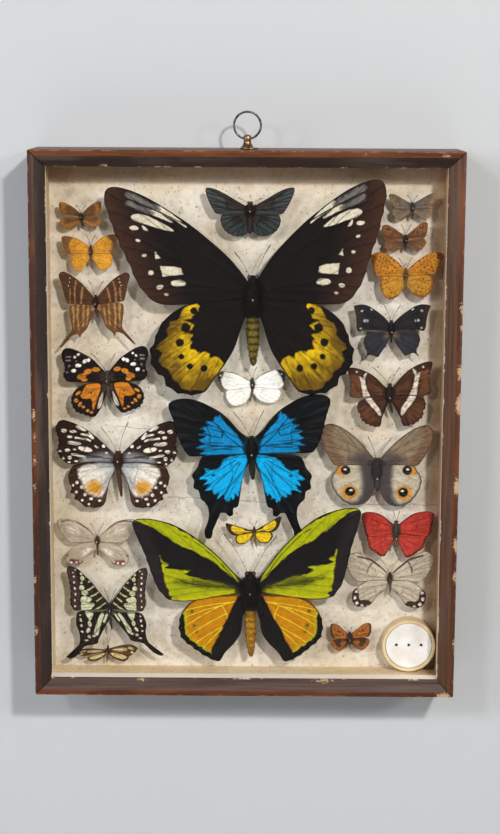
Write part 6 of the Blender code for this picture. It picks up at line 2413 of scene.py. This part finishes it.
           wing(Part.FORE, ((5, 23.5, 14.6), (9, 20, -0.5)), 0.5, """
2,3 6,8 11,12 16,15 22,16.5 26,15.5 27,13 25,8 23,3 21,1 12,0.2 2,-1
/ 1 spot 5,6,1 7,8.4,1 8.6,5.4,1.1 10,10,1.1 11,7.4,1 12.4,12,1 10.4,3.6,1.1 13,9.6,1.1 13.6,5.8,1.1
14.6,13.4,1 15.4,10.6,1.1 15.6,7.4,1 16.6,4.2,1.1 17.4,12.4,1.1 18,9,1 18.6,6,1.2 19.6,3.2,1.1 20,13.6,1.2
20.4,10.6,1.2 21.4,7.8,1 22.4,12.2,1.2 7,3.4,0.9 5.4,9,0.7 12,2.2,1 15,1.8,1
/ 2 area 21,17.5 24.4,15 27.6,16.5 28,12 25.6,7 24.6,2 22,-1 22,3 23,8 22.8,12"""),
           wing(Part.HIND, ((4, 17.8, -8), (7, 9.5, -17.6)), 0.8, """
2,-1 12,0.5 18,-0.5 20,-3 20,-8 18.5,-12 15,-15.5 11,-16 6,-13.5 2.5,-7
/ 1 spot 13,-2.8,1 15.4,-3.6,1 17.6,-3.4,1 14,-5,1.1 16.4,-6,1.1 18.4,-6.8,1 14.8,-8,1.1 17,-9.4,1.1
18.6,-10.6,0.9 12.4,-9.4,1.1 14.4,-11.2,1.1 16.4,-12.8,1 11,-11.6,1 12.6,-13.6,1.1 10.4,-14.6,0.9
8.2,-11.8,1 9.6,-8.6,1 7.6,-14,0.9
/ 2 rim 1.5"""),
           WingFinish("b87c26", "a0661c", (Tone("4a2410", "", 0.3, 0.3), Tone("6e3c16", "50280f", 0.8,
                      1.6)), vein="7c4a18", vein_show=0.4, rim="6a3a18", rim_width=0.3, root="966e30",
                      root_width=5),
           WingFinish("b8842c", "a06e20", (Tone("502810", "", 0.3, 0.3), Tone("84501c", "6a3c14", 0.8,
                      1.2)), vein="84561c", vein_show=0.35, rim="7a461c", rim_width=0.3, root="9a7838",
                      root_width=6),
           FurFinish("6e4a24", "7c5628", "4e3218")),
    Insect("dark_leafwing", (103.7, 68.2), 11, -1.3, Body(7, 5.6, -3.4, -9.5, 4, 1.8, 0.5),
           -0.9, ((5, 18), (-6.5, 17.6)),
           wing(Part.FORE, ((6, 28, 16.4), (10, 24, -1.2)), 0.2, """
0,4 4,9 9,13 15,17 20,18.5 25,18 26,17 24.5,12 23.5,6 23,2 21,-0.5 16,0.6 0,-1
/ 1 spot 20,14,2,1.7 13.5,14.8,2,1.2,20 17.6,7.2,2,2 15.6,7,1.2,1.8 20,1.8,1.6,1.2"""),
           wing(Part.HIND, ((4, 21, -8), (11, 10.5, -19.5)), 0.4, """
0,-1 10,-0.5 15.5,0.5 18,-2.5 19.5,-6 18.5,-11 17,-14.6 18.6,-18 17.6,-18.6 15.6,-16.6 12,-17.2 9,-18.5
6,-15 3,-11 0,-5"""),
           WingFinish("252427", "161416", (Tone("b9bec6", "8f949e", 0.35),), vein="100e0f", rim="2a211c",
                      rim_width=0.4, outer="33271f", outer_width=3, outer_soft=2),
           WingFinish("34343b", "232328", vein="17161a", rim="2a2420", rim_width=0.4, outer="2c2624",
                      outer_width=3, outer_soft=2, root="6c5c4e", root_width=6),
           FurFinish("1d1917", "231d1b", "120f0e")),
    Insect("white_banded_brown", (102.4, 23.0), 11, -0.3, Body(7.2, 5, -6, -14.5, 5, 2.2, 2.4),
           -2.6, ((6.5, 19), (-12.5, 18.6)),
           wing(Part.FORE, ((6, 30.4, 17.6), (11, 28, -2.4)), 0.6, """
2,3 5,8 9,13 14,17.5 20,21 26,23 29.5,22.5 29.5,19 28,13 28.5,6 29,2 28,0 24,-1.5 14,-1.5 2,-2
/ 1 area 15.6,17.6 17.6,16.8 18.6,14 20.6,15.4 21,13 20,9 19.4,3 18.4,-2.4 13.8,-2.4 15.4,3 17,9 17.4,13;
spot 23,19.2,1.4,1.6; streak 0.6,0.8 20.6,14.6 23.4,16
/ 2 area 20.8,11 22,16 27.6,18 28.4,10 28.4,1 20.6,-1.6 21,5
/ 3 area 4,3 10,7 14,12 15,8 12,2 5,-1"""),
           wing(Part.HIND, ((4, 23.5, -12), (9, 7.6, -24.6)), 1, """
2,-2 14,-1.2 22,-2.5 25,-5 26,-9 24.6,-13 24,-17 20,-21 16,-23 11,-24 8.6,-21 7.5,-16 5,-10 2,-6
/ 1 area 14.2,-1.6 18.6,-1.4 15.6,-7 12.4,-11 10,-15 8,-15.6 8.4,-11 11,-7
/ 2 spot 18.6,-13.4,15,9,48"""),
           WingFinish("4c2f20", "291710", (Tone("d6cbbc", "bfb09d", 0.35, 0.8), Tone("7a4e32", "3a2116",
                      1.2, 2.4), Tone("643f2a", "341e15", 2, 2.4)), vein="24140e", vein_width=0.3,
                      vein_show=0.5, rim="20120e", rim_width=0.7, worn=0.45),
           WingFinish("4e3022", "2b1811", (Tone("d6cbbc", "bfb09d", 0.35, 0.8), Tone("6e452d", "371f15",
                      1.6, 2.4)), vein="24130e", vein_width=0.3, vein_show=0.5, rim="241410", rim_width=0.7,
                      worn=0.45),
           FurFinish("2a1f1a", "362821", "1a1310")),
    Insect("owl_eyed_saturn", (94.1, -30.1), 10.5, 0, Body(6.2, 4.4, -9, -19, 7, 4.6, 0.8),
           -8, ((10, 21), (-7, 22)),
           wing(Part.FORE, ((7, 39.4, 27.6), (12, 29, 0.4)), 0, """
2,4 6,9.5 12,16.5 18,22 25,27 32,30 36.5,29.8 39,27 39.8,22 37.4,15 34.5,9 31.5,4 27.5,0.5 15,1 2,0.5
/ 1 streak 1.6,1.2 2,4.4 12,17 25,27.4 36,30
/ 2 area 0,-4 12,0 20,4 14,10 4,8"""),
           wing(Part.HIND, ((5, 33, -12), (9, 18.6, -28.2)), 0.5, """
2,1 15,2 25,1.4 29,-3 31.6,-7 32.2,-12 30.6,-17.5 28,-22 24,-26.5 19,-29 14,-29.5 9,-28 5.5,-24.5 3,-20
1.6,-12
/ 1 area 13,1 22,2 30,-3 31.4,-12 28,-20 21,-26 14,-25 11,-14
/ 2 area 23,1 28.6,0 29,-5 25,-7 21,-6; spot 19.6,-19.4,12,11
/ 3 spot 21.6,-2.8,6.8 19,-19,7
/ 4 spot 22,-2.2,2.2,1.4 18.4,-18,2.2,1.4"""),
           WingFinish("84735c", "736450", (Tone("4a382a", "", 0.5), Tone("4c4544", "3e3837", 5, 1.4)),
                      vein="54402e", vein_width=0.5, vein_show=0.5, rim="3c2c20", rim_width=0.7,
                      outer="6a5340", outer_width=7, outer_soft=2),
           WingFinish("464140", "363231", (Tone("b4aa97", "a59a86", 2.8, 1.8), Tone("c08c3c", "a87430", 1.2,
                      0.4), Tone("120e0c", "", 0.5), Tone("cfd2d0", "", 0.4)), vein="7c6c58",
                      vein_show=0.25, rim="4a382c", rim_width=1.0),
           FurFinish("423c3c", "453f3e", "2e2828")),
    Insect("crimson_glider", (109.3, -78.4), 11, -0.7, Body(8.6, 6.6, -4.4, -11.5, 4.6, 2.6, -0.8),
           -3.4, ((1.8, 16), (-3.4, 16.5)),
           wing(Part.FORE, ((5, 26, 12.6), (8, 22.6, -2)), 0.3, """
1,5 6,10 11,13.5 17,15.3 23,15.5 26.5,13.5 26,9 25,4 24,-1 20,-2.8 10,-2 1,-1
/ 1 rim 1.6,0,1; streak 1.2,0.8 1,5.6 12,14.6 24,16
/ 2 area 22,14 26.6,13 26,8 23,9"""),
           wing(Part.HIND, ((3, 20.8, -8), (7, 9, -18)), 0.5, """
1,-1 10,-1 21,-2 20.5,-7 19,-12 15,-15 11,-18 7,-18.8 4.5,-15 2.5,-6
/ 1 rim 1.4"""),
           WingFinish("b23a30", "982a22", (Tone("5c1c16", "3f1512", 0.8, 0.8), Tone("7c241c", "", 1.2)),
                      vein="7a221a", vein_show=0.5, rim="33140f", root="7a3a2a", root_width=4, worn=0.34),
           WingFinish("b43e34", "9c2e26", (Tone("6a2018", "4a1813", 0.8, 0.8),), vein="7a221a",
                      vein_show=0.5, rim="33140f", root="7c4434", root_width=4, worn=0.34),
           FurFinish("4c4a3e", "5c5a48", "302c24")),
    Insect("pied_glasswing", (104.3, -113.7), 10, 0.5, Body(5.2, 4, -2.8, -10.5, 3.4, 1.5, 0.6),
           0.4, ((7, 16), (-6.5, 15.5)),
           wing(Part.FORE, ((5, 28, 19), (10, 20.4, -2)), 0.2, """
2,3 6,8.5 12,14 18,18 24,21 29,20 32,16.5 31,10 28,4 24.5,0 20,-2 12,-1 2,-1
/ 1 streak 1.1,0.9 13.6,13 15.6,9.6 16.4,5.4; streak 1.2,1.6 3,5.4 14,14.4 24,18"""),
           wing(Part.HIND, ((4, 26.5, -10), (7, 18, -21)), 0.6, """
2,-1 12,-0.5 19,-3 24,-7 27,-11 26.5,-17 23,-21 17,-21.5 12,-19 8,-13 4,-7
/ 1 rim 5,0.14,0.86
/ 2 spot 15,-21,2.6,2.2 18.6,-20.4,2.4,2.2 22.6,-18.6,2.4,2.4 24.6,-14.6,2.2,2.6 24,-10.2,2.2,2.2
21.2,-7,2,1.6"""),
           WingFinish("d2c8b4", "c0b39c", (Tone("54402f", "44302a", 0.5, 0.6),), vein="6a5644",
                      vein_width=0.3, vein_show=0.75, rim="46342a", rim_width=0.6, clear=0.6, worn=0.12),
           WingFinish("d0c5b0", "beb19a", (Tone("2e1f1a", "1f1512", 0.5, 0.8), Tone("d8c8c0", "cfb0a8")),
                      vein="6a5644", vein_show=0.75, rim="2c1f1a", rim_width=0.6, clear=0.55, worn=0.12),
           FurFinish("4a382c", "55463a", "30241c")),
    Insect("small_copper", (76.8, -158.1), 8, -0.3, Body(4.2, 3, -3.2, -6.4, 3.2, 2.4, 0.3),
           -0.5, ((1.4, 8.5), (-5, 8.6)),
           wing(Part.FORE, ((4, 14.4, 9), (7, 12, -1)), 0.2, """
1,2.5 5,6 8,9 12,11 15,10 15.5,5 14.5,2 13,0.5 7,-0.4 1,-1
/ 1 spot 7,4.4,1.3 9.2,5.2,1.4 10.6,2.8,1.4 11.4,6.6,1.3 5,2.6,1.2 8.4,2,1.1
/ 2 rim 1.8; streak 0.9,0.8 1,3.2 6,7.6 12,11.6"""),
           wing(Part.HIND, ((3, 14, -4.4), (6, 7, -10.6)), 0.4, """
1,-1 7,-0.4 12,-0.5 14.5,-2.5 13.5,-6 11,-9 8,-10 4,-8 1.5,-4
/ 1 rim 2.6,0.1,0.95; spot 5,-4,4,3
/ 2 spot 12.9,-4.2,1,0.8,70 12,-5.9,1,0.8,62 10.6,-7.7,1,0.8,55 9.2,-8.8,1,0.8,25 7.8,-8.9,1,0.8,-10
5.9,-8,1,0.8,-32"""),
           WingFinish("b4702e", "92521f", (Tone("2c1a10", "", 0.3), Tone("503020", "3c2216", 0.7, 0.9)),
                      vein="5c361c", vein_show=0.5, rim="4a2c1c", rim_width=0.3, root="5a402a",
                      root_width=3),
           WingFinish("4c3022", "372116", (Tone("a8642a", "8a4e20", 0.8, 1.2), Tone("2c1a10")),
                      vein="38241a", rim="3c261a", rim_width=0.3),
           FurFinish("3c2c22", "4a3628", "2a1d16")),
)


def main() -> None:
    """Load the frame, then build, dress and log each part of the case."""
    logging.basicConfig(level=logging.INFO, format="%(message)s")
    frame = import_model()
    studio = Studio()
    studio.camera()
    Case(frame["nodes"]).build()
    Hanger().build()
    Cup().build()
    for insect in INSECTS:
        insect.build()
    studio.build()


if __name__ == "__main__":
    main()
